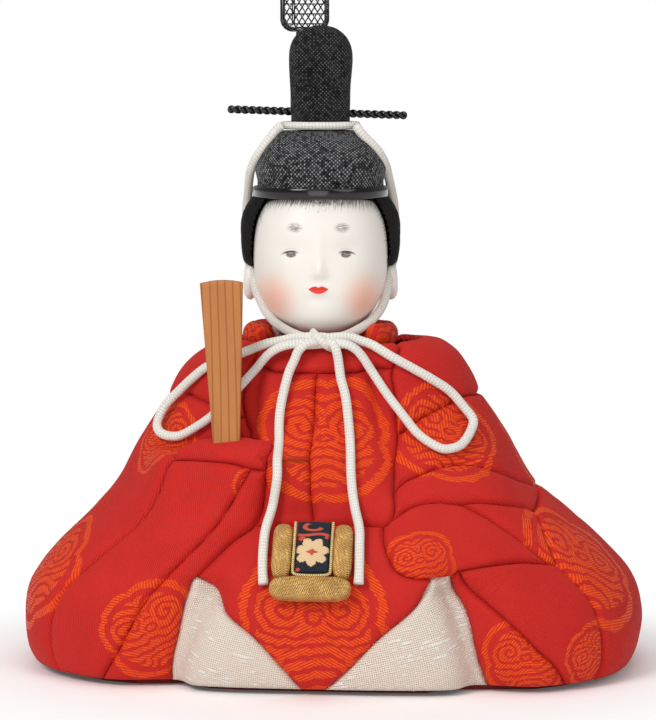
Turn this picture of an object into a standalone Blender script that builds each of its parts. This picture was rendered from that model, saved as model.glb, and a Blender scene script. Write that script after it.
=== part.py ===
"""Seated court doll of the wood and cloth kind (kimekomi).

A moulded wood-paste core carries cloth panels whose edges are tucked into its grooves.
The head stands on a wooden neck peg, wears a lacquered court cap tied on with a white
braided cord, and the right hand holds a wooden court tablet.

The doll faces -Y, +Z is up, and the floor is Z = 0. Right and left are the doll's own.
Places on a rounded form are given as (around, rise): around is a share of the half turn,
from the front (0) to the back (1), positive on the doll's left; rise is a share of the
way from the form's first ring to its last.
"""

import math

import bmesh
import bpy
from mathutils import Matrix, Vector

MM = 0.001

# Running and fitting clearances
FIT = 0.3 * MM
PANEL_INSET = 0.5 * MM

# Body: the outer form that the cloth panels make
BODY_HEIGHT = 82.2 * MM
BODY_HALF_WIDTH = 76.5 * MM
BODY_HALF_DEPTH = 50.0 * MM
RING_SHARES = (  # height, lean, half width, front, back, squareness
    (0.000, 0.000, 0.957, 0.968, 1.028, 2.75),
    (0.073, 0.000, 0.991, 0.995, 1.056, 2.75),
    (0.170, 0.000, 1.000, 1.000, 1.061, 2.65),
    (0.268, -0.003, 0.972, 0.972, 1.030, 2.55),
    (0.365, -0.007, 0.882, 0.900, 0.955, 2.50),
    (0.462, -0.012, 0.770, 0.790, 0.880, 2.45),
    (0.560, -0.024, 0.673, 0.660, 0.820, 2.35),
    (0.681, -0.029, 0.597, 0.548, 0.740, 2.30),
    (0.803, -0.029, 0.520, 0.490, 0.650, 2.25),
    (0.900, -0.026, 0.458, 0.448, 0.560, 2.20),
    (0.961, -0.012, 0.390, 0.400, 0.470, 2.20),
    (0.990, -0.012, 0.318, 0.340, 0.370, 2.10),
    (1.000, -0.039, 0.180, 0.240, 0.240, 2.00),
)

# Swells and hollows of the body: how far each stands out, and how wide it is
FOREARM_SWELL = 7.5 * MM
FOREARM_SPREAD = 13.0 * MM
CUFF_LEDGE = 2.2 * MM
ELBOW_SWELL = 3.5 * MM
ELBOW_SPREAD = 12.0 * MM
FOLD_SWELL = 2.0 * MM
FOLD_SPREAD = 9.0 * MM
KNEE_HOLLOW = -7.0 * MM
KNEE_SPREAD = 4.5 * MM
SEAM_HOLLOW = -2.5 * MM
SEAM_SPREAD = 3.5 * MM
RELIEFS = (  # (around, height share) from and to, out, spread below and above
    ((-0.190, 0.663), (-0.075, 0.663), FOREARM_SWELL, FOREARM_SPREAD, CUFF_LEDGE),
    ((0.120, 0.426), (0.240, 0.535), ELBOW_SWELL, ELBOW_SPREAD, ELBOW_SPREAD),
    ((0.150, 0.608), (0.300, 0.596), FOLD_SWELL, FOLD_SPREAD, FOLD_SPREAD),
    ((-0.167, 0.000), (-0.125, 0.268), KNEE_HOLLOW, KNEE_SPREAD, KNEE_SPREAD),
    ((0.184, 0.000), (0.153, 0.292), KNEE_HOLLOW, KNEE_SPREAD, KNEE_SPREAD),
    ((0.135, 0.900), (0.125, 0.584), SEAM_HOLLOW, SEAM_SPREAD, SEAM_SPREAD),
    ((-0.140, 0.900), (-0.120, 0.750), SEAM_HOLLOW, SEAM_SPREAD, SEAM_SPREAD),
    ((-0.060, 0.505), (0.085, 0.487), SEAM_HOLLOW, SEAM_SPREAD, SEAM_SPREAD),
    ((-0.062, 0.572), (-0.117, 0.341), SEAM_HOLLOW, SEAM_SPREAD, SEAM_SPREAD),
)

# Core, cloth panels and base
PANEL_THICKNESS = 1.2 * MM
PANEL_CELL = 7.5 * MM
PANEL_FINE_CELL = 4.3 * MM
PANEL_EDGE = 1.5 * MM
PANEL_DROP = 0.8 * MM
PANEL_PUFF = 0.35 * MM
SHORTEST_SIDE = 3.2 * MM
CUT_BACK = 0.2 * MM
CORE_DEPTH = PANEL_THICKNESS + PANEL_DROP + 2.4 * FIT
CORE_EASE = 3.0 * MM
CORE_SIDES = 52
CORE_RINGS = 20
CORE_FOOT_SHARE = 0.022
COVER_THICKNESS = 1.4 * MM
COVER_INSET = 5.5 * MM
COVER_POINTS = 48

# Seams between the panels, as places on the body form
SEAM_SHARES = {
    "centre_front": ((0.0, 0.435), (0.0, 0.55), (0.0, 0.66), (0.0, 0.763)),
    "centre_back": ((1.0, 0.25), (1.0, 0.45), (1.0, 0.68), (1.0, 0.905)),
    "chest_hem": ((-0.081, 0.431), (-0.04, 0.434), (0.0, 0.435), (0.05, 0.437), (0.091, 0.435)),
    "band_hem": ((-0.165, 0.778), (-0.1, 0.765), (0.0, 0.763), (0.09, 0.765), (0.18, 0.778)),
    "neck_line": (
        (-1.0, 0.905), (-0.8, 0.91), (-0.5, 0.935), (-0.215, 0.925), (0.0, 0.915),
        (0.26, 0.925), (0.5, 0.935), (0.8, 0.91), (1.0, 0.905),
    ),
    "right_arm": ((-0.12, 0.607), (-0.14, 0.645), (-0.158, 0.7), (-0.165, 0.778), (-0.215, 0.925)),
    "right_yoke": (
        (-0.14, 0.645), (-0.21, 0.668), (-0.255, 0.68), (-0.32, 0.692),
        (-0.4, 0.682), (-0.52, 0.668), (-0.66, 0.68), (-0.8, 0.715),
    ),
    "right_back": ((-0.72, 0.015), (-0.745, 0.25), (-0.77, 0.45), (-0.8, 0.715), (-0.8, 0.91)),
    "right_outer": (
        (-0.29, 0.015), (-0.294, 0.1), (-0.296, 0.17), (-0.288, 0.25), (-0.266, 0.335),
        (-0.244, 0.408), (-0.228, 0.475), (-0.211, 0.54), (-0.2, 0.567),
    ),
    "right_middle": (
        (-0.225, 0.015), (-0.208, 0.075), (-0.192, 0.14), (-0.178, 0.217), (-0.166, 0.28),
        (-0.145, 0.365), (-0.115, 0.458), (-0.094, 0.515), (-0.078, 0.556),
    ),
    "right_inner": (
        (-0.168, 0.015), (-0.16, 0.09), (-0.152, 0.15), (-0.146, 0.21), (-0.1395, 0.28),
        (-0.134, 0.3), (-0.122, 0.335), (-0.104, 0.39), (-0.081, 0.431), (-0.068, 0.49),
        (-0.058, 0.552), (-0.057, 0.575),
    ),
    "cuff_lip": ((-0.2, 0.567), (-0.16, 0.569), (-0.11, 0.567), (-0.078, 0.556)),
    "cuff_back": ((-0.203, 0.597), (-0.16, 0.607), (-0.12, 0.607), (-0.057, 0.602)),
    "right_apron": ((-0.134, 0.3), (-0.095, 0.232), (-0.058, 0.165), (-0.03, 0.085), (-0.012, 0.015)),
    "left_apron": ((0.13, 0.31), (0.098, 0.235), (0.064, 0.165), (0.035, 0.085), (0.012, 0.015)),
    "left_arm": (
        (0.091, 0.435), (0.102, 0.45), (0.121, 0.508), (0.132, 0.56),
        (0.15, 0.617), (0.166, 0.7), (0.18, 0.778), (0.26, 0.925),
    ),
    "left_yoke": (
        (0.15, 0.617), (0.185, 0.636), (0.211, 0.65), (0.274, 0.67),
        (0.367, 0.69), (0.5, 0.685), (0.66, 0.683), (0.8, 0.715),
    ),
    "left_back": ((0.72, 0.015), (0.745, 0.25), (0.775, 0.42), (0.785, 0.5), (0.8, 0.715), (0.8, 0.91)),
    "left_fold_top": (
        (0.121, 0.508), (0.141, 0.533), (0.175, 0.551), (0.215, 0.561), (0.25, 0.56),
        (0.289, 0.547), (0.378, 0.519), (0.49, 0.492), (0.62, 0.478), (0.785, 0.5),
    ),
    "left_fold_hem": (
        (0.102, 0.45), (0.117, 0.467), (0.138, 0.484), (0.165, 0.492), (0.197, 0.486),
        (0.226, 0.488), (0.27, 0.478), (0.322, 0.463), (0.346, 0.45), (0.42, 0.466), (0.49, 0.48),
    ),
    "left_sliver": (
        (0.197, 0.486), (0.219, 0.462), (0.237, 0.431), (0.256, 0.397), (0.268, 0.362), (0.281, 0.335),
    ),
    "left_outer": (
        (0.31, 0.015), (0.312, 0.08), (0.311, 0.14), (0.308, 0.2), (0.303, 0.26),
        (0.294, 0.328), (0.305, 0.375), (0.323, 0.41), (0.346, 0.45),
    ),
    "left_cuff": (
        (0.091, 0.435), (0.085, 0.4), (0.085, 0.365), (0.089, 0.334),
        (0.104, 0.318), (0.13, 0.31), (0.152, 0.312), (0.159, 0.325),
    ),
    "left_front_top": (
        (0.159, 0.325), (0.181, 0.338), (0.207, 0.344), (0.241, 0.345), (0.281, 0.335), (0.294, 0.328),
    ),
    "left_middle": (
        (0.265, 0.015), (0.243, 0.085), (0.222, 0.131), (0.207, 0.172),
        (0.189, 0.225), (0.173, 0.275), (0.159, 0.325),
    ),
    "left_inner": (
        (0.192, 0.015), (0.18, 0.09), (0.173, 0.15), (0.167, 0.222), (0.158, 0.28), (0.152, 0.312),
    ),
    "right_hem": ((-1.0, 0.25), (-0.87, 0.25), (-0.745, 0.25)),
    "left_hem": ((0.745, 0.25), (0.87, 0.25), (1.0, 0.25)),
}

# Each panel's four sides: lower, upper, start and end, as spans of seams (name, first point, last point)
PANEL_POINTS = {
    "chest_panel_right": (
        (("chest_hem", 0, 2),), (("band_hem", 0, 2),),
        (("right_inner", 8, 11), ("cuff_back", 3, 2), ("right_arm", 0, 3)), (("centre_front", 0, 3),),
    ),
    "chest_panel_left": (
        (("chest_hem", 2, 4),), (("band_hem", 2, 4),), (("centre_front", 0, 3),), (("left_arm", 0, 6),),
    ),
    "chest_band": (
        (("band_hem", 0, 4),), (("neck_line", 3, 5),), (("right_arm", 3, 4),), (("left_arm", 6, 7),),
    ),
    "right_shoulder_panel": (
        (("right_yoke", 7, 0),), (("neck_line", 1, 3),), (("right_back", 3, 4),), (("right_arm", 1, 4),),
    ),
    "right_outer_sleeve_panel": (
        (("right_back", 0, 0), ("right_outer", 0, 0)), (("right_yoke", 7, 0),), (("right_back", 0, 3),),
        (("right_outer", 0, 8), ("cuff_back", 0, 2), ("right_arm", 0, 1)),
    ),
    "right_front_sleeve_panel": (
        (("right_outer", 0, 0), ("right_middle", 0, 0)), (("cuff_lip", 0, 3),), (("right_outer", 0, 8),),
        (("right_middle", 0, 8),),
    ),
    "right_inner_sleeve_panel": (
        (("right_middle", 0, 0), ("right_inner", 0, 0)), (("right_middle", 8, 8), ("right_inner", 10, 10)),
        (("right_middle", 0, 8),), (("right_inner", 0, 10),),
    ),
    "left_shoulder_panel": (
        (("left_yoke", 0, 7),), (("neck_line", 5, 7),), (("left_arm", 4, 7),), (("left_back", 4, 5),),
    ),
    "left_upper_sleeve_panel": (
        (("left_fold_top", 0, 9),), (("left_yoke", 0, 7),), (("left_arm", 2, 4),), (("left_back", 3, 4),),
    ),
    "left_fold_panel": (
        (("left_fold_hem", 0, 10),), (("left_fold_top", 0, 7),), (("left_arm", 1, 2),),
        (("left_fold_hem", 10, 10), ("left_fold_top", 7, 7)),
    ),
    "left_sliver_panel": (
        (("left_sliver", 0, 5),), (("left_fold_hem", 4, 8),), (("left_sliver", 0, 0),),
        (("left_front_top", 4, 5), ("left_outer", 5, 8)),
    ),
    "left_cuff_panel": (
        (("left_cuff", 3, 7), ("left_front_top", 0, 4)), (("left_fold_hem", 0, 4), ("left_sliver", 0, 5)),
        (("left_cuff", 3, 0), ("left_arm", 0, 1)), (("left_sliver", 5, 5),),
    ),
    "left_outer_sleeve_panel": (
        (("left_outer", 0, 0), ("left_back", 0, 0)), (("left_fold_top", 7, 9),),
        (("left_outer", 0, 8), ("left_fold_hem", 8, 10), ("left_fold_top", 7, 7)), (("left_back", 0, 3),),
    ),
    "left_front_sleeve_panel": (
        (("left_middle", 0, 0), ("left_outer", 0, 0)), (("left_front_top", 0, 5),),
        (("left_middle", 0, 6),), (("left_outer", 0, 5),),
    ),
    "left_inner_sleeve_panel": (
        (("left_inner", 0, 0), ("left_middle", 0, 0)), (("left_cuff", 6, 7),),
        (("left_inner", 0, 5),), (("left_middle", 0, 6),),
    ),
    "apron_panel": (
        (("right_apron", 4, 4), ("left_apron", 4, 4)), (("chest_hem", 0, 4),),
        (("right_apron", 4, 0), ("right_inner", 5, 8)), (("left_apron", 4, 0), ("left_cuff", 5, 0)),
    ),
    "hakama_right": (
        (("right_inner", 0, 0), ("right_apron", 4, 4)), (("right_inner", 4, 5),),
        (("right_inner", 0, 4),), (("right_apron", 4, 0),),
    ),
    "hakama_left": (
        (("left_apron", 4, 4), ("left_inner", 0, 0)), (("left_cuff", 5, 6),),
        (("left_apron", 4, 0),), (("left_inner", 0, 5),),
    ),
    "back_panel_right": (
        (("right_hem", 0, 2),), (("neck_line", 0, 1),), (("centre_back", 0, 3),), (("right_back", 1, 4),),
    ),
    "back_panel_left": (
        (("left_hem", 0, 2),), (("neck_line", 7, 8),), (("left_back", 1, 5),), (("centre_back", 0, 3),),
    ),
    "back_hem_panel": (
        (("left_back", 0, 0), ("right_back", 0, 0)), (("left_hem", 0, 2), ("right_hem", 0, 2)),
        (("left_back", 0, 1),), (("right_back", 0, 1),),
    ),
}
IVORY_PANELS = ("hakama_right", "hakama_left")
FINE_PANELS = ("apron_panel", "hakama_right", "hakama_left", "right_inner_sleeve_panel")
SEAM_POINTS = 8

# Neck, collars and peg
NECK_X = -3.2 * MM
NECK_Y = -1.0 * MM
HEAD_TURN_REST = math.radians(6.0)
PEG_RADIUS = 3.0 * MM
PEG_DEPTH = 25.2 * MM
PEG_RISE = 5.8 * MM
PEG_FOOT = BODY_HEIGHT - PEG_DEPTH
PEG_TOP = BODY_HEIGHT + PEG_RISE
COLLAR_RADIUS = 3.4 * MM
COLLAR_HALF_WIDTH = 15.5 * MM
COLLAR_HALF_DEPTH = 15.2 * MM
COLLAR_RISE = 1.3 * MM
COLLAR_OPENING_SHARE = 0.27
COLLAR_POINTS = 22
UNDER_COLLAR_NECK = 10.9 * MM
UNDER_COLLAR_SPREAD = 0.3 * MM
UNDER_COLLAR_SINK = 2.3 * MM
UNDER_COLLAR_RISE = 3.6 * MM
UNDER_COLLAR_THICKNESS = 1.0 * MM
UNDER_COLLAR_OPENING_SHARE = 0.38
UNDER_COLLAR_CELLS = 16

# Head
HEAD_SINK = 0.6 * MM
HEAD_FOOT = BODY_HEIGHT - HEAD_SINK
HEAD_HEIGHT = 50.4 * MM
HEAD_HALF_WIDTH = 16.8 * MM
HEAD_HALF_DEPTH = 17.4 * MM
HEAD_RING_SHARES = (  # height, lean, half width, front, back, squareness
    (0.000, 0.0, 0.430, 0.400, 0.430, 2.0),
    (0.030, 0.0, 0.440, 0.500, 0.450, 2.0),
    (0.075, 0.0, 0.450, 0.770, 0.520, 2.0),
    (0.150, 0.0, 0.750, 0.900, 0.740, 2.1),
    (0.240, 0.0, 0.915, 0.955, 0.900, 2.2),
    (0.350, 0.0, 0.985, 0.975, 0.990, 2.2),
    (0.470, 0.0, 1.000, 0.980, 1.020, 2.2),
    (0.590, 0.0, 0.965, 0.955, 0.990, 2.2),
    (0.710, 0.0, 0.860, 0.860, 0.880, 2.2),
    (0.820, 0.0, 0.760, 0.760, 0.770, 2.1),
    (0.920, 0.0, 0.550, 0.550, 0.560, 2.0),
    (1.000, 0.0, 0.250, 0.250, 0.260, 2.0),
)
HEAD_SIDES = 24
HEAD_RINGS = 18
EAR_APART = 17.2 * MM
EAR_HALF_WIDTH = 2.2 * MM
EAR_HALF_DEPTH = 3.0 * MM
EAR_HALF_HEIGHT = 4.6 * MM
EAR_RISE = 16.0 * MM
EAR_BACK = 1.5 * MM

# Hair, as thick panels on the head form
HAIR_THICKNESS = 2.0 * MM
HAIR_LIFT = 0.7 * MM
HAIR_SHARES = {
    "temple": ((0.50, 0.515), (0.46, 0.55), (0.38, 0.615), (0.26, 0.695)),
    "ear": ((0.50, 0.515), (0.58, 0.51), (0.65, 0.455), (0.72, 0.415)),
    "nape": ((0.72, 0.415), (0.85, 0.345), (1.0, 0.315)),
    "behind": ((0.72, 0.415), (0.72, 0.51), (0.72, 0.61), (0.72, 0.695)),
    "rim": ((0.26, 0.695), (0.5, 0.695), (0.72, 0.695)),
    "rim_back": ((0.72, 0.695), (0.85, 0.695), (1.0, 0.695)),
}
HAIR_CELL = 3.6 * MM

# Court cap
RIM_RISE = 35.4 * MM
RIM_FOOT = HEAD_FOOT + RIM_RISE
RIM_HEIGHT = 2.6 * MM
RIM_THICKNESS = 0.7 * MM
RIM_CLEARANCE = 0.4 * MM
RIM_SHARE = 0.17
RIM_POINTS = 40
CROWN_LAP = 0.6 * MM
CROWN_HEIGHT = 15.8 * MM
CROWN_FOOT = RIM_FOOT + CROWN_LAP
CROWN_TOP = CROWN_FOOT + CROWN_HEIGHT
CROWN_HALF_WIDTH = 15.6 * MM
CROWN_HALF_DEPTH = 16.4 * MM
CROWN_THICKNESS = 0.8 * MM
CROWN_SIDES = 24
CROWN_RINGS = 8
CROWN_RING_SHARES = (  # height, lean, half width, front, back, squareness
    (0.00, 0.0, 1.000, 1.000, 1.000, 2.2),
    (0.13, 0.0, 1.010, 1.000, 1.010, 2.2),
    (0.35, 0.0, 1.000, 0.960, 1.000, 2.2),
    (0.54, 0.0, 0.935, 0.860, 0.945, 2.2),
    (0.78, 0.0, 0.785, 0.620, 0.800, 2.2),
    (0.96, 0.0, 0.610, 0.360, 0.620, 2.3),
    (1.00, 0.0, 0.540, 0.260, 0.550, 2.4),
)
KOJI_HALF_WIDTH = 7.95 * MM
KOJI_HALF_DEPTH = 6.0 * MM
KOJI_BACK = 2.4 * MM
KOJI_RISE = 26.2 * MM
KOJI_TOP = CROWN_TOP + KOJI_RISE
KOJI_THICKNESS = 0.8 * MM
KOJI_RING_SHARES = (  # height, lean, half width, front, back, squareness
    (0.00, 0.0, 0.945, 1.000, 1.000, 2.5),
    (0.12, 0.0, 0.920, 0.970, 0.970, 2.5),
    (0.40, 0.0, 0.950, 0.900, 0.900, 2.5),
    (0.66, 0.0, 1.000, 0.860, 0.860, 2.5),
    (0.79, 0.0, 0.960, 0.800, 0.800, 2.4),
    (0.89, 0.0, 0.800, 0.680, 0.680, 2.3),
    (0.965, 0.0, 0.500, 0.440, 0.440, 2.1),
    (1.00, 0.0, 0.160, 0.150, 0.150, 2.0),
)
KOJI_SIDES = 16
KOJI_RINGS = 9
PIN_RADIUS = 1.1 * MM
PIN_LENGTH = 45.0 * MM
PIN_RISE = 4.5 * MM
PIN_SHIFT = -0.8 * MM
PIN_TILT = math.radians(2.0)
PIN_SIDES = 12

# Standing tail of the cap: a gauze strip in a thin frame, with a tang in a socket
TAIL_HALF_WIDTH = 6.2 * MM
TAIL_RISE = -1.6 * MM
TAIL_FOOT = KOJI_TOP + TAIL_RISE
TAIL_HEIGHT = 48.0 * MM
TAIL_THICKNESS = 0.9 * MM
TAIL_CORNER = 3.2 * MM
TAIL_SHIFT = -2.6 * MM
TAIL_OFFSET = -1.4 * MM
TAIL_FRAME = 1.1 * MM
TANG_HALF_WIDTH = 3.6 * MM
TANG_RISE = 7.6 * MM
TANG_FOOT = CROWN_TOP + TANG_RISE
TAIL_GAP_WIDTH = 2.5 * MM
TAIL_GAP_HEIGHT = 3.47 * MM
TAIL_BAR = 0.6 * MM
SOCKET_WALL = 1.1 * MM
SOCKET_RISE = 5.2 * MM
SOCKET_HEIGHT = 12.4 * MM
SOCKET_FOOT = CROWN_TOP + SOCKET_RISE
SOCKET_TOP = SOCKET_FOOT + SOCKET_HEIGHT

# Waist ornament: gold rolls round a flowered band with a gold cord
ORNAMENT_WIDTH = 19.2 * MM
ORNAMENT_HEIGHT = 17.8 * MM
ORNAMENT_THICKNESS = 4.2 * MM
ORNAMENT_X = -0.3 * MM
ORNAMENT_RISE_SHARE = 0.345
ORNAMENT_TILT = math.radians(-34.0)
ORNAMENT_SEAT = 1.0 * MM
ROLL_RIGHT_WIDTH = 4.8 * MM
ROLL_LEFT_WIDTH = 4.4 * MM
ROLL_LOWER_HEIGHT = 5.2 * MM
ROLL_BEVEL_SHARE = 0.38
BAND_THICKNESS = 3.6 * MM
BAND_RISE = 1.0 * MM
TRIM_RADIUS = 0.35 * MM

# Court tablet
TABLET_TOP_WIDTH = 10.5 * MM
TABLET_FOOT_WIDTH = 6.4 * MM
TABLET_ARCH = 0.5 * MM
TABLET_THICKNESS = 1.6 * MM
TABLET_LENGTH = 52.6 * MM
TABLET_HELD = 12.0 * MM
TABLET_SHARES = (-0.302, -0.588, 0.6886)
TABLET_TILT = math.radians(-1.7)

# Braided cord: its ring round the cup's foot, its knot, and the points of its routes in millimetres,
# drawn on a body of the half width, half depth and height in ROUTE_BODY
CORD_RADIUS = 1.15 * MM
CORD_STEP = 3.4 * MM
RING_RISE_SHARE = 0.048
RING_POINTS = 24
KNOT_LENGTH = 10.6 * MM
KNOT_RADIUS = 1.9 * MM
KNOT_X = -0.6 * MM
KNOT_Y = -20.2 * MM
KNOT_RISE = 0.4 * MM
ROUTE_BODY = (76.5, 50.0, 82.2)
ROUTE_EASE = 15.0
CORD_ROUTES = {
    "chin_cord_right": (
        (-13.9, -4.0, 133.7), (-15.4, -5.0, 131.6), (-17.5, -6.4, 128.4), (-18.8, -8.0, 124.8),
        (-19.6, -9.6, 120.7), (-20.1, -11.2, 116.7), (-20.4, -12.3, 112.6), (-20.9, -11.6, 108.8),
        (-21.3, -9.8, 105.5), (-21.0, -8.6, 102.2), (-19.6, -9.4, 98.3), (-18.8, -9.8, 95.6),
        (-18.0, -10.4, 92.9), (-16.6, -11.8, 89.8), (-14.8, -13.2, 87.4), (-12.8, -14.4, 85.6),
        (-10.4, -16.0, 84.2), (-8.0, -17.6, 83.6),
    ),
    "chin_cord_left": (
        (7.1, -5.0, 133.0), (8.9, -5.6, 131.4), (11.2, -6.0, 129.0), (12.8, -6.8, 125.8),
        (13.8, -7.5, 122.1), (15.0, -8.2, 118.1), (15.7, -8.8, 114.8), (16.2, -8.8, 111.7),
        (16.7, -7.4, 107.8), (16.6, -5.4, 104.0), (16.3, -4.6, 100.2), (15.5, -5.0, 97.0),
        (14.5, -6.2, 94.1), (13.8, -8.0, 91.7), (12.8, -10.2, 89.4), (11.6, -12.6, 87.5),
        (10.0, -14.6, 86.0), (8.6, -15.6, 85.1), (7.2, -16.5, 84.4), (5.9, -17.3, 84.1),
    ),
    "bow_loop_right": (
        (-7.2, -20.2, 83.3), (-10.3, -20.6, 82.6), (-13.4, -20.8, 82.0), (-15.8, -20.2, 81.2),
        (-18.2, -19.0, 80.2), (-20.5, -18.9, 79.3), (-25.2, -18.2, 77.4), (-29.8, -16.9, 75.5),
        (-33.5, -16.2, 72.6), (-37.4, -15.2, 68.9), (-40.5, -15.0, 65.5), (-42.2, -16.2, 61.8),
        (-41.6, -18.0, 59.6), (-39.2, -20.0, 58.7), (-35.9, -21.6, 58.9), (-32.1, -22.6, 60.9),
        (-27.7, -23.3, 64.0), (-24.1, -23.2, 67.7), (-20.2, -22.4, 71.9), (-17.0, -21.4, 75.5),
        (-13.8, -22.4, 79.2), (-10.8, -23.0, 81.1), (-7.6, -23.0, 81.9),
    ),
    "bow_loop_left": (
        (6.2, -20.0, 83.5), (8.6, -20.0, 82.6), (11.5, -20.0, 81.6), (16.1, -20.3, 78.9),
        (21.0, -19.4, 76.1), (25.6, -18.2, 73.4), (30.2, -16.5, 70.2), (33.8, -15.8, 66.1),
        (36.0, -16.2, 63.2), (35.8, -18.4, 61.0), (34.3, -22.4, 58.4), (32.6, -24.5, 57.3),
        (29.7, -25.9, 56.9), (26.7, -26.0, 58.1), (23.0, -25.4, 60.7), (19.3, -24.5, 65.1),
        (15.5, -23.3, 69.8), (11.8, -22.3, 75.1), (8.8, -22.6, 79.3), (6.5, -23.0, 82.0),
    ),
    "cord_tail_right": (
        (-5.3, -22.2, 79.9), (-7.1, -23.4, 78.0), (-8.8, -24.4, 74.0), (-10.4, -26.5, 65.8),
        (-10.2, -30.6, 58.6), (-9.9, -36.3, 54.9), (-9.7, -38.5, 51.0), (-10.8, -38.3, 44.2),
        (-12.0, -41.9, 39.2), (-12.2, -45.0, 35.4), (-12.1, -47.5, 31.0), (-11.7, -49.5, 26.9),
    ),
    "cord_tail_left": (
        (3.1, -22.4, 80.0), (3.5, -23.6, 78.0), (4.3, -24.6, 73.7), (5.7, -25.8, 68.6),
        (6.9, -28.4, 59.1), (7.7, -33.6, 50.8), (8.8, -37.6, 44.9), (10.5, -42.3, 39.6),
        (10.9, -45.8, 35.8), (11.1, -48.4, 31.5), (11.1, -50.1, 27.4),
    ),
}

# Colours as seen: base colour, roughness, metallic
FINISHES = {
    "wood paste": ((0.36, 0.26, 0.17, 1.0), 0.85, 0.0),
    "red cloth": ((0.60, 0.035, 0.02, 1.0), 0.72, 0.0),
    "ivory cloth": ((0.78, 0.74, 0.66, 1.0), 0.7, 0.0),
    "paper": ((0.30, 0.05, 0.04, 1.0), 0.8, 0.0),
    "pale silk": ((0.86, 0.70, 0.68, 1.0), 0.6, 0.0),
    "shell white": ((0.90, 0.86, 0.83, 1.0), 0.42, 0.0),
    "bare wood": ((0.66, 0.47, 0.28, 1.0), 0.6, 0.0),
    "cedar": ((0.42, 0.20, 0.09, 1.0), 0.5, 0.0),
    "black thread": ((0.012, 0.011, 0.012, 1.0), 0.45, 0.0),
    "black gauze": ((0.018, 0.018, 0.02, 1.0), 0.4, 0.0),
    "black lacquer": ((0.008, 0.008, 0.009, 1.0), 0.12, 0.0),
    "gold brocade": ((0.56, 0.34, 0.10, 1.0), 0.4, 0.35),
    "navy brocade": ((0.02, 0.03, 0.09, 1.0), 0.6, 0.0),
    "gold cord": ((0.75, 0.52, 0.20, 1.0), 0.3, 0.8),
    "white cord": ((0.85, 0.84, 0.80, 1.0), 0.6, 0.0),
}


def curve_through(values, share):
    """Smooth curve through rows of numbers, read at a share of its length."""
    last = len(values) - 1
    at = min(max(share, 0.0), 1.0) * last
    index = min(int(at), last - 1)
    part = at - index
    row = []
    for column in range(len(values[0])):
        here, after = values[index][column], values[index + 1][column]
        before = values[index - 1][column] if index else 2 * here - after
        beyond = values[index + 2][column] if index + 2 <= last else 2 * after - here
        slope = after - before
        bend = 2 * before - 5 * here + 4 * after - beyond
        twist = beyond - before + 3 * (here - after)
        row.append(here + (slope + (bend + twist * part) * part) * part / 2)
    return row


class Form:
    """A rounded form through rings of unlike section, with swells and hollows."""

    def __init__(self, foot, height, half_width, half_depth, ring_shares, reliefs=()):
        self.run = math.pi * half_depth
        self.reliefs = []
        for low, high, out, below, above in reliefs:
            ends = [Vector((around * self.run, foot + share * height)) for around, share in (low, high)]
            self.reliefs.append((*ends, out, below, above))
        self.rings = []
        for share, lean, width, front, back, square in ring_shares:
            section = (lean * half_width, width * half_width, front * half_depth, back * half_depth, square)
            self.rings.append((foot + share * height, *section))
        self.height = height

    def surface(self, around, rise):
        """The form's own point at (around, rise)."""
        height, lean, width, front, back, square = curve_through(self.rings, rise)
        side, ahead = math.sin(math.pi * around), math.cos(math.pi * around)
        reach = (abs(side) ** square + abs(ahead) ** square) ** (-1 / square)
        point = Vector((width * reach * side, -(front if ahead > 0 else back) * reach * ahead, 0))
        flat = ((around + 1) % 2 - 1) * self.run
        for low, high, out, below, above in self.reliefs:
            here = Vector((flat, height)) - low
            run = high - low
            share = min(max(here.dot(run) / run.dot(run), 0.0), 1.0)
            away = here - run * share
            spread = above if away.y > 0 else below
            point += point.normalized() * out * math.exp(-away.length_squared / spread**2)
        return Vector((lean + point.x, point.y, height))

    def place(self, around, rise, out=0.0):
        """The point that lies out from the form at (around, rise)."""
        near = 0.012
        here = self.surface(around, rise)
        low, high = max(rise - near, 0.0), min(rise + near, 1.0)
        across = self.surface(around + near, rise) - self.surface(around - near, rise)
        along = self.surface(around, high) - self.surface(around, low)
        return here + across.cross(along).normalized() * out


def core_reliefs():
    """The core's swells stand lower than the cloth's, its hollows are deeper and wider."""
    reliefs = []
    for low, high, out, below, above in RELIEFS:
        wider = CORE_EASE * 2 if out < 0 else 0.0
        reliefs.append((low, high, out - CORE_EASE, below + wider, above + wider))
    return reliefs


BODY = Form(0.0, BODY_HEIGHT, BODY_HALF_WIDTH, BODY_HALF_DEPTH, RING_SHARES, RELIEFS)
CORE = Form(0.0, BODY_HEIGHT, BODY_HALF_WIDTH, BODY_HALF_DEPTH, RING_SHARES, core_reliefs())
HEAD = Form(HEAD_FOOT, HEAD_HEIGHT, HEAD_HALF_WIDTH, HEAD_HALF_DEPTH, HEAD_RING_SHARES)


def finish(name):
    """The named material, made once."""
    material = bpy.data.materials.get(name)
    if material is None:
        colour, roughness, metallic = FINISHES[name]
        material = bpy.data.materials.new(name)
        material.use_nodes = True
        material.diffuse_color = colour
        shader = material.node_tree.nodes["Principled BSDF"]
        shader.inputs["Base Color"].default_value = colour
        shader.inputs["Roughness"].default_value = roughness
        shader.inputs["Metallic"].default_value = metallic
    return material


def add(name, data, look, group, parent=None):
    """Put a mesh or curve in the group as one named piece."""
    piece = bpy.data.objects.new(name, data)
    group.objects.link(piece)
    data.materials.append(finish(look))
    piece.parent = parent
    if isinstance(data, bpy.types.Mesh):
        data.shade_smooth()
        data.set_sharp_from_angle(angle=math.radians(38.0))
    return piece


def mesh_from(shape, name):
    """A mesh data block from an edited bmesh, faces turned outward."""
    bmesh.ops.recalc_face_normals(shape, faces=shape.faces)
    data = bpy.data.meshes.new(name)
    shape.to_mesh(data)
    shape.free()
    return data


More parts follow.
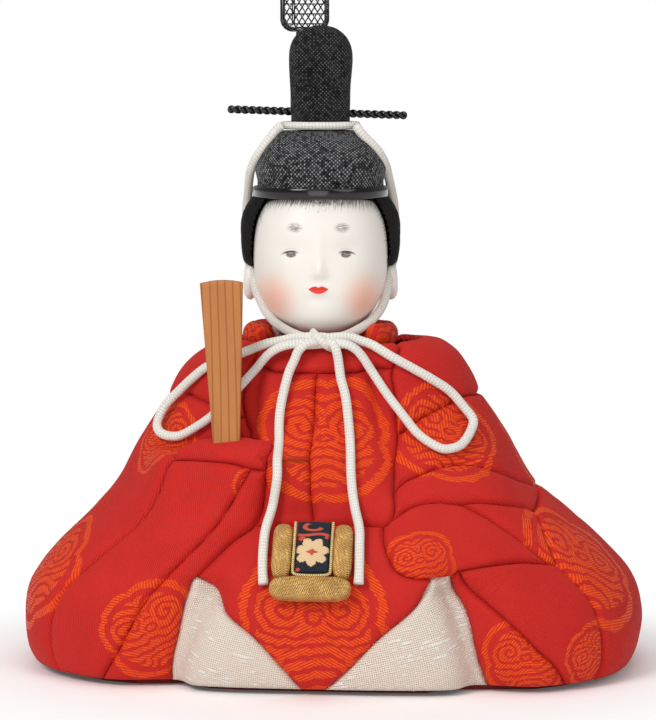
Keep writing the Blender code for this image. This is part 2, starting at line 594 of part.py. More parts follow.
def empty(name, group, place, turn=0.0):
    """An unseen axis that pieces hang from."""
    axis = bpy.data.objects.new(name, None)
    group.objects.link(axis)
    axis.location = place
    axis.rotation_euler = (0.0, 0.0, turn)
    return axis


def cut(piece, cutter, operation="DIFFERENCE"):
    """Cut the piece by the cutter, or join them."""
    modifier = piece.modifiers.new(cutter.name, "BOOLEAN")
    modifier.operation = operation
    modifier.solver = "EXACT"
    modifier.object = cutter


def cutter_from(data, name, group, matrix):
    """A hidden cutting shape."""
    cutter = bpy.data.objects.new(name, data)
    group.objects.link(cutter)
    cutter.matrix_basis = matrix
    cutter.hide_render = True
    cutter.display_type = "WIRE"
    return cutter


def box_mesh(name, width, depth, height):
    """A box about its own centre."""
    shape = bmesh.new()
    bmesh.ops.create_cube(shape, size=1.0)
    bmesh.ops.scale(shape, vec=(width, depth, height), verts=shape.verts)
    return mesh_from(shape, name)


def rod_mesh(name, radius, length, sides):
    """A round rod along Z about its own centre."""
    shape = bmesh.new()
    bmesh.ops.create_cone(
        shape, cap_ends=True, segments=sides, radius1=radius, radius2=radius, depth=length
    )
    return mesh_from(shape, name)


def loft(name, form, sides, rings, out=0.0, low=0.0, floor=None, ends=True):
    """A skin over the form from a rise to its top, its lowest ring cut flat at the floor."""
    shape = bmesh.new()
    loops = []
    for ring in range(rings + 1):
        rise = low + (1 - low) * ring / rings
        loop = [shape.verts.new(form.place(2 * side / sides - 1, rise, out)) for side in range(sides)]
        if ring == 0 and floor is not None:
            for vert in loop:
                vert.co.z = floor
        loops.append(loop)
    for under, over in zip(loops, loops[1:]):
        for side in range(sides):
            after = (side + 1) % sides
            shape.faces.new((under[side], under[after], over[after], over[side]))
    if ends:
        shape.faces.new(reversed(loops[0]))
        shape.faces.new(loops[-1])
    return mesh_from(shape, name)


def seam(table, name):
    """A seam's smooth course, SEAM_POINTS places from each knot to the next."""
    knots = table[name]
    steps = (len(knots) - 1) * SEAM_POINTS
    return [curve_through(knots, step / steps) for step in range(steps + 1)]


def measured(form, places):
    """A side: its places, and the real run from the first to each."""
    runs = [0.0]
    for before, after in zip(places, places[1:]):
        step = form.surface(*after) - form.surface(*before)
        runs.append(runs[-1] + step.length)
    return places, runs


def side_of(form, table, spans):
    """One side of a panel: the places along its spans."""
    places = []
    for name, first, last in spans:
        course = seam(table, name)
        if first <= last:
            piece = course[first * SEAM_POINTS : last * SEAM_POINTS + 1]
        else:
            piece = course[last * SEAM_POINTS : first * SEAM_POINTS + 1][::-1]
        if places and abs(piece[0][0] - places[-1][0]) > 1:
            turn = 2 if piece[0][0] < places[-1][0] else -2
            piece = [(around + turn, rise) for around, rise in piece]
        places.extend(piece)
    return measured(form, places)


def along(side, share):
    """The place at a share of a side's real run."""
    places, runs = side
    target = share * runs[-1]
    for index in range(1, len(runs)):
        if runs[index] >= target and runs[index] > runs[index - 1]:
            part = (target - runs[index - 1]) / (runs[index] - runs[index - 1])
            part = max(part, 0.0)
            return tuple(a + (b - a) * part for a, b in zip(places[index - 1], places[index]))
    return tuple(places[-1])


def shortened(form, side, start, end):
    """A side without a run at its start and one at its end."""
    places, runs = side
    total = runs[-1]
    kept = [place for place, run in zip(places, runs) if start < run < total - end]
    return measured(form, [along(side, start / total), *kept, along(side, 1 - end / total)])


def widen(form, short, first, second, at_end):
    """Draw two sides back from the short one between them, until it is long enough for its cells."""
    if short[1][-1] >= SHORTEST_SIDE:
        return short, first, second
    cut_run = 0.0
    limit = 0.45 * min(first[1][-1], second[1][-1])
    while cut_run < limit:
        cut_run += CUT_BACK
        corners = []
        for side in (first, second):
            share = cut_run / side[1][-1]
            corners.append(along(side, 1 - share if at_end else share))
        if (form.surface(*corners[0]) - form.surface(*corners[1])).length >= SHORTEST_SIDE:
            break
    start, end = (0.0, cut_run) if at_end else (cut_run, 0.0)
    return measured(form, corners), shortened(form, first, start, end), shortened(form, second, start, end)


def corner_ease(form, first, second, first_at_end, second_at_end, inset):
    """How far from a corner its first cells reach: further where the corner is sharp."""
    arms = []
    for side, at_end in ((first, first_at_end), (second, second_at_end)):
        share = min(PANEL_EDGE / side[1][-1], 0.4)
        corner = form.surface(*along(side, 1.0 if at_end else 0.0))
        arms.append(form.surface(*along(side, 1 - share if at_end else share)) - corner)
    half = arms[0].angle(arms[1]) / 2
    return max(PANEL_EDGE, 1.6 * inset / math.tan(half))


def steps_along(run, cell, edge):
    """Shares along a side: a narrow step at each edge, and even ones between."""
    count = max(round((run - 2 * edge) / cell), 1)
    rim = min(edge / run, 0.2)
    inner = [rim + (1 - 2 * rim) * step / count for step in range(count + 1)]
    return [0.0, *inner, 1.0]


def eased(shares, index, run, near, far):
    """A grid share whose first and last cells keep their real width on this run."""
    if index in (0, len(shares) - 1):
        return shares[index]
    rim = shares[1]
    near, far = min(near / run, 0.4), min(far / run, 0.4)
    return near + (shares[index] - rim) / (1 - 2 * rim) * (1 - near - far)


def inset_edge(shape, inset):
    """Draw an open grid's edge in by the inset, square to its own run."""
    moves = {}
    for edge in shape.edges:
        if not edge.is_boundary:
            continue
        face = edge.link_faces[0]
        run = (edge.verts[1].co - edge.verts[0].co).normalized()
        inward = face.normal.cross(run).normalized()
        middle = (edge.verts[0].co + edge.verts[1].co) / 2
        if inward.dot(face.calc_center_median() - middle) < 0:
            inward.negate()
        for vert in edge.verts:
            moves.setdefault(vert, []).append(inward)
    for vert, inwards in moves.items():
        total = inwards[0] + inwards[1]
        vert.co += total * inset / max(1 + inwards[0].dot(inwards[1]), 0.35)


def blend_sides(sides, u, v):
    """The place at (u, v) inside four sides."""
    lower, upper, start, end = sides
    below, above, left, right = along(lower, u), along(upper, u), along(start, v), along(end, v)
    low_left, low_right, high_left, high_right = start[0][0], end[0][0], start[0][-1], end[0][-1]
    return [
        below[k] * (1 - v) + above[k] * v + left[k] * (1 - u) + right[k] * u
        - (low_left[k] * (1 - u) + low_right[k] * u) * (1 - v)
        - (high_left[k] * (1 - u) + high_right[k] * u) * v
        for k in (0, 1)
    ]


def panel_mesh(name, form, table, sides, cell, skins, puff, drop, inset):
    """A closed cloth or hair panel between four seams, its edges drawn down to the grooves."""
    lower, upper, start, end = (side_of(form, table, spans) for spans in sides)
    lower, start, end = widen(form, lower, start, end, False)
    upper, start, end = widen(form, upper, start, end, True)
    start, lower, upper = widen(form, start, lower, upper, False)
    end, lower, upper = widen(form, end, lower, upper, True)
    sides = (lower, upper, start, end)
    across = steps_along(max(lower[1][-1], upper[1][-1]), cell, PANEL_EDGE)
    upward = steps_along(max(start[1][-1], end[1][-1]), cell, PANEL_EDGE)
    ease = {
        (0, 0): corner_ease(form, lower, start, False, False, inset),
        (1, 0): corner_ease(form, lower, end, True, False, inset),
        (0, 1): corner_ease(form, upper, start, False, True, inset),
        (1, 1): corner_ease(form, upper, end, True, True, inset),
    }
    shape = bmesh.new()
    rows, low_skin = [], {}
    for row, v in enumerate(upward):
        verts = []
        width = (form.surface(*along(end, v)) - form.surface(*along(start, v))).length
        for column, u in enumerate(across):
            height = (form.surface(*along(upper, u)) - form.surface(*along(lower, u))).length
            near, far = (ease[0, 0] * (1 - v) + ease[0, 1] * v, ease[1, 0] * (1 - v) + ease[1, 1] * v)
            low, high = (ease[0, 0] * (1 - u) + ease[1, 0] * u, ease[0, 1] * (1 - u) + ease[1, 1] * u)
            share_across = eased(across, column, width, near, far)
            share_up = eased(upward, row, height, low, high)
            place = blend_sides(sides, share_across, share_up)
            rim = row in (0, len(upward) - 1) or column in (0, len(across) - 1)
            rise = -drop if rim else puff * (1 - (2 * u - 1) ** 4) * (1 - (2 * v - 1) ** 4)
            vert = shape.verts.new(form.place(*place, skins[0] + rise))
            low_skin[vert] = form.place(*place, skins[1] + rise)
            verts.append(vert)
        rows.append(verts)
    grid = []
    for under, over in zip(rows, rows[1:]):
        for column in range(len(across) - 1):
            grid.append((under[column], under[column + 1], over[column + 1], over[column]))
    for corners in grid:
        shape.faces.new(corners)
    shape.normal_update()
    tops = {vert: vert.co.copy() for vert in low_skin}
    inset_edge(shape, inset)
    under_side = {vert: shape.verts.new(place + vert.co - tops[vert]) for vert, place in low_skin.items()}
    rim_edges = [edge.verts[:] for edge in shape.edges if edge.is_boundary]
    for corners in grid:
        shape.faces.new([under_side[vert] for vert in reversed(corners)])
    for one, two in rim_edges:
        shape.faces.new((one, two, under_side[two], under_side[one]))
    return mesh_from(shape, name)


def thicken(piece, thickness):
    """Give an open skin its thickness, inward."""
    modifier = piece.modifiers.new("thickness", "SOLIDIFY")
    modifier.thickness = thickness
    modifier.offset = -1.0
    modifier.use_even_offset = False


def tube(name, points, radius, look, group, closed=False, parent=None, sides=2):
    """A round cord or rod along points."""
    data = bpy.data.curves.new(name, "CURVE")
    data.dimensions = "3D"
    data.bevel_depth = radius
    data.bevel_resolution = sides
    data.use_fill_caps = True
    spline = data.splines.new("POLY")
    spline.points.add(len(points) - 1)
    for spot, place in zip(spline.points, points):
        spot.co = (*place, 1.0)
    spline.use_cyclic_u = closed
    return add(name, data, look, group, parent)


def outline(name, loops, thickness, look, group, parent=None):
    """A flat plate from closed outlines; the outlines inside the first are holes."""
    data = bpy.data.curves.new(name, "CURVE")
    data.dimensions = "2D"
    data.fill_mode = "BOTH"
    data.extrude = thickness / 2
    for loop in loops:
        spline = data.splines.new("POLY")
        spline.points.add(len(loop) - 1)
        for spot, (x, y) in zip(spline.points, loop):
            spot.co = (x, y, 0.0, 1.0)
        spline.use_cyclic_u = True
    return add(name, data, look, group, parent)


def bevel(piece, width, segments=2):
    """Round a piece's edges."""
    modifier = piece.modifiers.new("rounded edge", "BEVEL")
    modifier.width = width
    modifier.segments = segments
    modifier.limit_method = "ANGLE"


def build_body(parts, cutters):
    """The core with its bores, the base cover and the cloth panels."""
    core = add(
        "body_core",
        loft("body_core", CORE, CORE_SIDES, CORE_RINGS, -CORE_DEPTH, CORE_FOOT_SHARE, COVER_THICKNESS + FIT),
        "wood paste",
        parts,
    )
    bore_height = BODY_HEIGHT - PEG_FOOT + FIT
    bore = cutter_from(
        rod_mesh("peg_bore", PEG_RADIUS + FIT, 2 * bore_height, 24),
        "peg_bore",
        cutters,
        Matrix.Translation((NECK_X, NECK_Y, PEG_FOOT - FIT + bore_height)),
    )
    cut(core, bore)
    slot_height = 2 * TABLET_HELD
    slot = cutter_from(
        box_mesh("tablet_slot", TABLET_FOOT_WIDTH + 8 * FIT, TABLET_THICKNESS + 2 * FIT, slot_height),
        "tablet_slot",
        cutters,
        tablet_matrix() @ Matrix.Translation((0.0, 0.0, slot_height / 2 - TABLET_HELD - FIT)),
    )
    cut(core, slot)

    edge = []
    for step in range(COVER_POINTS):
        place = BODY.surface(2 * step / COVER_POINTS - 1, 0.0)
        flat = Vector((place.x, place.y))
        edge.append(flat - flat.normalized() * COVER_INSET)
    cover = outline("base_cover", [edge], COVER_THICKNESS, "paper", parts)
    cover.location.z = COVER_THICKNESS / 2

    for name, sides in PANEL_POINTS.items():
        cell = PANEL_FINE_CELL if name in FINE_PANELS else PANEL_CELL
        skins = (0.0, -PANEL_THICKNESS)
        data = panel_mesh(name, BODY, SEAM_SHARES, sides, cell, skins, PANEL_PUFF, PANEL_DROP, PANEL_INSET)
        add(name, data, "ivory cloth" if name in IVORY_PANELS else "red cloth", parts)


def build_collars(parts):
    """The padded collar round the neck, open in front, and the pale one inside it."""
    points = []
    for step in range(COLLAR_POINTS):
        around = COLLAR_OPENING_SHARE + (2 - 2 * COLLAR_OPENING_SHARE) * step / (COLLAR_POINTS - 1)
        angle = math.pi * around
        points.append(
            (
                NECK_X + COLLAR_HALF_WIDTH * math.sin(angle),
                NECK_Y - COLLAR_HALF_DEPTH * math.cos(angle),
                BODY_HEIGHT + COLLAR_RISE,
            )
        )
    tube("outer_collar", points, COLLAR_RADIUS, "red cloth", parts, sides=3)

    shape = bmesh.new()
    bmesh.ops.create_grid(shape, x_segments=UNDER_COLLAR_CELLS, y_segments=1, size=1.0)
    for vert in shape.verts:
        angle = math.pi * (1 + vert.co.x * (1 - UNDER_COLLAR_OPENING_SHARE))
        top = vert.co.y > 0
        radius = UNDER_COLLAR_NECK + (0.0 if top else UNDER_COLLAR_SPREAD)
        height = BODY_HEIGHT + (UNDER_COLLAR_RISE if top else -UNDER_COLLAR_SINK)
        vert.co = (NECK_X + radius * math.sin(angle), NECK_Y - radius * math.cos(angle), height)
    collar = add("inner_collar", mesh_from(shape, "inner_collar"), "pale silk", parts)
    thicken(collar, UNDER_COLLAR_THICKNESS)


def build_head(parts, cutters, neck):
    """The head with its ears and bore, the hair, and the wooden peg that it turns on."""
    peg_length = PEG_TOP - PEG_FOOT
    peg = add("neck_peg", rod_mesh("neck_peg", PEG_RADIUS, peg_length, 20), "bare wood", parts, neck)
    peg.location = (0.0, 0.0, PEG_FOOT + peg_length / 2)

    head = add("head", loft("head", HEAD, HEAD_SIDES, HEAD_RINGS), "shell white", parts, neck)
    for side, name in ((-1, "ear_right"), (1, "ear_left")):
        shape = bmesh.new()
        bmesh.ops.create_uvsphere(shape, u_segments=10, v_segments=8, radius=1.0)
        bmesh.ops.scale(shape, vec=(EAR_HALF_WIDTH, EAR_HALF_DEPTH, EAR_HALF_HEIGHT), verts=shape.verts)
        place = Matrix.Translation((side * EAR_APART, EAR_BACK, HEAD_FOOT + EAR_RISE))
        ear = cutter_from(mesh_from(shape, name), name, cutters, place)
        ear.parent = neck
        cut(head, ear, "UNION")
    depth = PEG_TOP - HEAD_FOOT + FIT
    bore = cutter_from(
        rod_mesh("head_bore", PEG_RADIUS + FIT, 2 * depth, 24),
        "head_bore",
        cutters,
        Matrix.Translation((0.0, 0.0, HEAD_FOOT)),
    )
    bore.parent = neck
    cut(head, bore)

    left = dict(HAIR_SHARES)
    right = {name: tuple((-around, rise) for around, rise in places) for name, places in left.items()}
    back = dict(left)
    for name, places in right.items():
        back["right " + name] = tuple((around + 2, rise) for around, rise in places)
    lock = ((("ear", 0, 3),), (("rim", 0, 2),), (("temple", 0, 3),), (("behind", 0, 3),))
    nape = (
        (("nape", 0, 2), ("right nape", 2, 0)),
        (("rim_back", 0, 2), ("right rim_back", 2, 0)),
        (("behind", 0, 3),),
        (("right behind", 0, 3),),
    )
    skins = (HAIR_LIFT + HAIR_THICKNESS, HAIR_LIFT)
    hair = (("hair_left", left, lock), ("hair_right", right, lock), ("hair_back", back, nape))
    for name, table, sides in hair:
        data = panel_mesh(name, HEAD, table, sides, HAIR_CELL, skins, 0.0, 0.0, PANEL_INSET)
        add(name, data, "black thread", parts, neck)


def koji_form():
    """The upright cup's form, standing on the crown."""
    foot = CROWN_TOP + FIT
    return Form(foot, KOJI_TOP - foot, KOJI_HALF_WIDTH, KOJI_HALF_DEPTH, KOJI_RING_SHARES)


def build_cap(parts, cutters, neck):
    """The court cap: rim, crown, upright cup, hairpin, tail socket and tail."""
    crown_form = Form(CROWN_FOOT, CROWN_HEIGHT, CROWN_HALF_WIDTH, CROWN_HALF_DEPTH, CROWN_RING_SHARES)
    crown_data = loft("cap_crown", crown_form, CROWN_SIDES, CROWN_RINGS, ends=False)
    crown = add("cap_crown", crown_data, "black gauze", parts, neck)
    thicken(crown, CROWN_THICKNESS)
    loops = []
    for grow in (RIM_CLEARANCE + RIM_THICKNESS, RIM_CLEARANCE):
        round_rim = [crown_form.place(2 * step / RIM_POINTS, RIM_SHARE, grow) for step in range(RIM_POINTS)]
        loops.append([(point.x, point.y) for point in round_rim])
    rim = outline("cap_rim", loops, RIM_HEIGHT, "black lacquer", parts, neck)
    rim.location = (0.0, 0.0, RIM_FOOT + RIM_HEIGHT / 2)

    shape = bmesh.new()
    shape.from_mesh(loft("koji", koji_form(), KOJI_SIDES, KOJI_RINGS))
    foot = min(shape.faces, key=lambda face: face.calc_center_median().z)
    bmesh.ops.delete(shape, geom=[foot], context="FACES")
    koji = add("cap_koji", mesh_from(shape, "cap_koji"), "black gauze", parts, neck)
    koji.location = (0.0, KOJI_BACK, 0.0)
    thicken(koji, KOJI_THICKNESS)
    pin_place = Matrix.Translation((PIN_SHIFT, KOJI_BACK, CROWN_TOP + PIN_RISE))
    pin_place = pin_place @ Matrix.Rotation(PIN_TILT + math.pi / 2, 4, "Y")
    bore = cutter_from(
        rod_mesh("pin_bore", PIN_RADIUS + FIT, 4 * KOJI_HALF_WIDTH, PIN_SIDES), "pin_bore", cutters, pin_place
    )
    bore.parent = neck
    cut(koji, bore)
    pin = add("hairpin", rod_mesh("hairpin", PIN_RADIUS, PIN_LENGTH, PIN_SIDES), "black lacquer", parts, neck)
    pin.matrix_basis = pin_place
    bevel(pin, PIN_RADIUS / 3, 1)

    upright = Matrix.Rotation(math.pi / 2, 4, "X")
    tail_back = KOJI_BACK + KOJI_HALF_DEPTH + FIT + SOCKET_WALL + FIT + TAIL_THICKNESS / 2
    tail_place = Matrix.Translation((TAIL_SHIFT, tail_back, 0.0)) @ upright
    wide, narrow, corner = TAIL_HALF_WIDTH, TANG_HALF_WIDTH, TAIL_CORNER
    top = TAIL_FOOT + TAIL_HEIGHT
    left, right = TAIL_OFFSET - wide, TAIL_OFFSET + wide
    bow = corner / 4
    edge = [(-narrow, TANG_FOOT), (narrow, TANG_FOOT), (narrow, TAIL_FOOT)]
    if right - corner > narrow:
        edge.append((right - corner, TAIL_FOOT))
    edge += [
        (right - bow, TAIL_FOOT + bow), (right, TAIL_FOOT + corner),
        (right, top - corner), (right - bow, top - bow), (right - corner, top),
        (left + corner, top), (left + bow, top - bow), (left, top - corner),
        (left, TAIL_FOOT + corner), (left + bow, TAIL_FOOT + bow), (left + corner, TAIL_FOOT),
        (-narrow, TAIL_FOOT),
    ]
    gaps = [edge]
    net_width = 2 * (wide - TAIL_FRAME)
    net_foot = TAIL_FOOT + corner
    net_height = TAIL_HEIGHT - 2 * corner
    columns, rows = max(round(net_width / TAIL_GAP_WIDTH), 1), max(round(net_height / TAIL_GAP_HEIGHT), 1)
    pitch_x, pitch_z = net_width / columns, net_height / rows
    for column in range(columns):
        for row in range(rows):
            near = TAIL_OFFSET - net_width / 2 + column * pitch_x + TAIL_BAR / 2
            low = net_foot + row * pitch_z + TAIL_BAR / 2
            far, high = near + pitch_x - TAIL_BAR, low + pitch_z - TAIL_BAR
            gaps.append([(near, low), (near, high), (far, high), (far, low)])
    tail = outline("cap_tail", gaps, TAIL_THICKNESS, "black gauze", parts, neck)
    tail.matrix_basis = tail_place

    socket_depth = TAIL_THICKNESS + 2 * FIT + 2 * SOCKET_WALL
    socket = add(
        "tail_socket",
        box_mesh("tail_socket", 2 * (narrow + FIT + SOCKET_WALL), socket_depth, SOCKET_HEIGHT),
        "black lacquer", parts, neck,
    )
    socket.location = (TAIL_SHIFT, tail_back, SOCKET_FOOT + SOCKET_HEIGHT / 2)
    slot_height = 2 * (SOCKET_TOP - TANG_FOOT + FIT)
    slot = cutter_from(
        box_mesh("tang_slot", 2 * (narrow + FIT), TAIL_THICKNESS + 2 * FIT, slot_height),
        "tang_slot", cutters, Matrix.Translation((TAIL_SHIFT, tail_back, SOCKET_TOP)),
    )
    slot.parent = neck
    cut(socket, slot)


def ornament_matrix():
    """The waist ornament's own frame: X across, Y up its slope, Z out of the lap."""
    tilt = Matrix.Rotation(math.pi / 2 + ORNAMENT_TILT, 4, "X")
    seat = BODY.surface(0.0, ORNAMENT_RISE_SHARE)
    return Matrix.Translation((ORNAMENT_X, seat.y, seat.z)) @ tilt


def build_ornament(parts):
    """Three padded gold rolls round a flowered band, with a gold cord between."""
    frame = ornament_matrix()
    left, right = ORNAMENT_WIDTH / 2, -ORNAMENT_WIDTH / 2
    low, high = -ORNAMENT_HEIGHT / 2, ORNAMENT_HEIGHT / 2
    column = ORNAMENT_HEIGHT - ROLL_LOWER_HEIGHT - FIT
    middle_y = high - column / 2
    band_width = ORNAMENT_WIDTH - ROLL_RIGHT_WIDTH - ROLL_LEFT_WIDTH - 2 * FIT - 4 * TRIM_RADIUS
    band_x = right + ROLL_RIGHT_WIDTH + FIT + 2 * TRIM_RADIUS + band_width / 2
    band_high = high + BAND_RISE
    band_low = low + ROLL_LOWER_HEIGHT + FIT + 2 * TRIM_RADIUS
    lift = ORNAMENT_SEAT + ORNAMENT_THICKNESS / 2
    rolls = (
        ("waist_roll_right", ROLL_RIGHT_WIDTH, column, right + ROLL_RIGHT_WIDTH / 2, middle_y),
        ("waist_roll_left", ROLL_LEFT_WIDTH, column, left - ROLL_LEFT_WIDTH / 2, middle_y),
        ("waist_roll_lower", ORNAMENT_WIDTH, ROLL_LOWER_HEIGHT, 0.0, low + ROLL_LOWER_HEIGHT / 2),
    )
    for name, width, height, x, y in rolls:
        roll = add(name, box_mesh(name, width, height, ORNAMENT_THICKNESS), "gold brocade", parts)
        roll.matrix_basis = frame @ Matrix.Translation((x, y, lift))
        bevel(roll, min(width, height, ORNAMENT_THICKNESS) * ROLL_BEVEL_SHARE, 3)
    band_height = band_high - band_low
    band_data = box_mesh("waist_band", band_width, band_height, BAND_THICKNESS)
    band = add("waist_band", band_data, "navy brocade", parts)
    band.matrix_basis = frame @ Matrix.Translation(
        (band_x, band_low + band_height / 2, ORNAMENT_SEAT + BAND_THICKNESS / 2)
    )
    bevel(band, BAND_THICKNESS / 6)
    reach = TRIM_RADIUS + FIT / 2
    x_right, x_left = band_x - band_width / 2 - reach, band_x + band_width / 2 + reach
    y_low = band_low - reach
    height = ORNAMENT_SEAT + BAND_THICKNESS - TRIM_RADIUS
    corner = 2 * TRIM_RADIUS
    route = [
        (x_right, high - corner, height), (x_right, y_low + corner, height),
        (x_right + corner / 2, y_low + corner / 4, height), (x_right + corner, y_low, height),
        (x_left - corner, y_low, height), (x_left - corner / 2, y_low + corner / 4, height),
        (x_left, y_low + corner, height), (x_left, high - corner, height),
    ]
    trim = tube("waist_trim_cord", route, TRIM_RADIUS, "gold cord", parts, sides=1)
    trim.matrix_basis = frame


def tablet_matrix():
    """The tablet's own frame: Z along its length, its zero at the cuff."""
    across, ahead, up = TABLET_SHARES
    place = Matrix.Translation((across * BODY_HALF_WIDTH, ahead * BODY_HALF_DEPTH, up * BODY_HEIGHT))
    return place @ Matrix.Rotation(TABLET_TILT, 4, "Y")


def build_tablet(parts):
    """The court tablet: a thin board that widens to an arched top."""
    top = TABLET_LENGTH - TABLET_HELD
    half_top, half_foot = TABLET_TOP_WIDTH / 2, TABLET_FOOT_WIDTH / 2
    edge = [
        (-half_foot, -TABLET_HELD), (half_foot, -TABLET_HELD), (half_foot, 0.0), (half_top, top),
        (half_top / 2, top + TABLET_ARCH), (0.0, top + TABLET_ARCH * 4 / 3),
        (-half_top / 2, top + TABLET_ARCH), (-half_top, top), (-half_foot, 0.0),
    ]
    tablet = outline("shaku", [edge], TABLET_THICKNESS, "cedar", parts)
    tablet.matrix_basis = tablet_matrix() @ Matrix.Rotation(math.pi / 2, 4, "X")


def route_point(x, y, z):
    """A route's point on this body: above the shoulders it keeps to the head, below to the body."""
    wide, deep, tall = ROUTE_BODY
    if z >= tall:
        return (x * MM, y * MM, z * MM + BODY_HEIGHT - tall * MM)
    share = min((tall - z) / ROUTE_EASE, 1.0)
    along_width = 1 + share * (BODY_HALF_WIDTH / (wide * MM) - 1)
    along_depth = 1 + share * (BODY_HALF_DEPTH / (deep * MM) - 1)
    return (x * MM * along_width, y * MM * along_depth, z * BODY_HEIGHT / tall)


def build_cords(parts, neck):
    """The braided cord: its ring and chin pieces, knot, bow loops and ends."""
    foot = koji_form()
    out = CORD_RADIUS + FIT
    places = [foot.place(2 * step / RING_POINTS, RING_RISE_SHARE, out) for step in range(RING_POINTS)]
    ring = tube("cap_cord_ring", places, CORD_RADIUS, "white cord", parts, True, neck)
    ring.location = (0.0, KOJI_BACK, 0.0)
    knot = add("cord_knot", rod_mesh("cord_knot", KNOT_RADIUS, KNOT_LENGTH, 14), "white cord", parts)
    knot_place = Matrix.Translation((KNOT_X, KNOT_Y, BODY_HEIGHT + KNOT_RISE))
    knot.matrix_basis = knot_place @ Matrix.Rotation(math.pi / 2, 4, "Y")
    bevel(knot, KNOT_RADIUS * 2 / 3)
    for name, route in CORD_ROUTES.items():
        points = [route_point(*point) for point in route]
        lengths = [0.0]
        for before, after in zip(points, points[1:]):
            lengths.append(lengths[-1] + (Vector(after) - Vector(before)).length)
        count = max(round(lengths[-1] / CORD_STEP), 4)
        course = []
        for step in range(count + 1):
            target = lengths[-1] * step / count
            index = min(max(sum(length < target for length in lengths) - 1, 0), len(points) - 2)
            part = (target - lengths[index]) / (lengths[index + 1] - lengths[index])
            course.append(curve_through(points, (index + part) / (len(points) - 1)))
        tube(name, course, CORD_RADIUS, "white cord", parts)


def main():
    """Clear the scene and build the doll."""
    for old in list(bpy.data.objects):
        bpy.data.objects.remove(old)
    scene = bpy.context.scene
    parts = bpy.data.collections.new("court_doll")
    cutters = bpy.data.collections.new("cutters")
    scene.collection.children.link(parts)
    scene.collection.children.link(cutters)
    neck = empty("head_turn_axis", parts, (NECK_X, NECK_Y, 0.0), HEAD_TURN_REST)
    build_body(parts, cutters)
    build_collars(parts)
    build_head(parts, cutters, neck)
    build_cap(parts, cutters, neck)
    build_ornament(parts)
    build_tablet(parts)
    build_cords(parts, neck)


main()
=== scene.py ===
"""The look of a seated court doll of the wood and cloth kind, built round its packed parts.

Cords come first, then the robe's tucked panels, the collars, the head with its painted face,
the hair, the lacquered cap, the waist ornament and the tablet. The doll faces -Y and stands
on Z = 0; right and left are the doll's own. Lengths are metres unless a name says otherwise.
"""

from __future__ import annotations

import logging
import math
from dataclasses import dataclass
from enum import Enum
from functools import reduce
from typing import Sequence, Union

import bmesh
import bpy
import numpy as np
from mathutils import Matrix, Vector


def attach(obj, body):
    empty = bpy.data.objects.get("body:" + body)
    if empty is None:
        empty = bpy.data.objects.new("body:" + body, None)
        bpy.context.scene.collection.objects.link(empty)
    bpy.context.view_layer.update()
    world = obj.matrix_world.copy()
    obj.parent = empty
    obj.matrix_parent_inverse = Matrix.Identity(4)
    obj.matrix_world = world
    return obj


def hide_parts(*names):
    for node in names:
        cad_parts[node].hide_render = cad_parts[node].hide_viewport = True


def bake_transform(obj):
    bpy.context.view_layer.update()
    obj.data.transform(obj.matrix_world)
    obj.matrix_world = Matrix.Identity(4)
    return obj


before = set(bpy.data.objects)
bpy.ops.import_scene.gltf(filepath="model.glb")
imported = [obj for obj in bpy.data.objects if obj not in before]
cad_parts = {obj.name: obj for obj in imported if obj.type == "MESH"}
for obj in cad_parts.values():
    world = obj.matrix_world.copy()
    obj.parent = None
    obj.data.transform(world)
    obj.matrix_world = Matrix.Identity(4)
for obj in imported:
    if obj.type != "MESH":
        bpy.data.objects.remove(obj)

Place = tuple[float, float]
Grid = np.ndarray
Faces = Sequence[tuple[int, ...]]
Value = Union["Signal", float, tuple[float, ...]]

MM = 0.001
WHITE = (1.0, 1.0, 1.0, 1.0)
workshop = logging.getLogger("court_doll")


class Body(Enum):
    """The moving bodies of the packed doll."""

    ROBE = "body"
    NECK = "neck"
    HEAD = "head"
    TAIL = "tail"
    PIN = "pin"
    TABLET = "tablet"


class Slot(Enum):
    """The material slots of the packed record."""

    RED_CLOTH = "red_cloth"
    COLLAR_CLOTH = "collar_cloth"
    IVORY_CLOTH = "ivory_cloth"
    PALE_SILK = "pale_silk"
    SHELL_WHITE = "shell_white"
    TABLET_WOOD = "tablet_wood"
    BLACK_THREAD = "black_thread"
    BLACK_GAUZE = "black_gauze"
    BLACK_LACQUER = "black_lacquer"
    GOLD_BROCADE = "gold_brocade"
    NAVY_BROCADE = "navy_brocade"
    GOLD_CORD = "gold_cord"
    WHITE_CORD = "white_cord"


def tint(code: str) -> tuple[float, float, float, float]:
    """A colour as the shader takes it."""
    parts = [int(code[at : at + 2], 16) / 255 for at in (0, 2, 4)]
    return (*((c / 12.92 if c <= 0.04045 else ((c + 0.055) / 1.055) ** 2.4) for c in parts), 1.0)


# Shader writing


class Signal:
    """A number, a vector or a colour on its way through a material, with the plain signs of arithmetic."""

    def __init__(self, recipe: Recipe, socket: bpy.types.NodeSocket) -> None:
        """Hold a node's output and the recipe that made it."""
        self.recipe, self.socket = recipe, socket

    def __add__(self, other: Value) -> Signal:
        """The sum."""
        return self.recipe.math("ADD", self, other)

    def __radd__(self, other: float) -> Signal:
        """The sum, a plain number first."""
        return self.recipe.math("ADD", other, self)

    def __sub__(self, other: Value) -> Signal:
        """The difference."""
        return self.recipe.math("SUBTRACT", self, other)

    def __rsub__(self, other: float) -> Signal:
        """The difference, a plain number first."""
        return self.recipe.math("SUBTRACT", other, self)

    def __mul__(self, other: Value) -> Signal:
        """The product."""
        return self.recipe.math("MULTIPLY", self, other)

    def __rmul__(self, other: float) -> Signal:
        """The product, a plain number first."""
        return self.recipe.math("MULTIPLY", other, self)

    def __truediv__(self, other: Value) -> Signal:
        """The quotient."""
        return self.recipe.math("DIVIDE", self, other)

    def __abs__(self) -> Signal:
        """The number without its sign."""
        return self.recipe.math("ABSOLUTE", self)


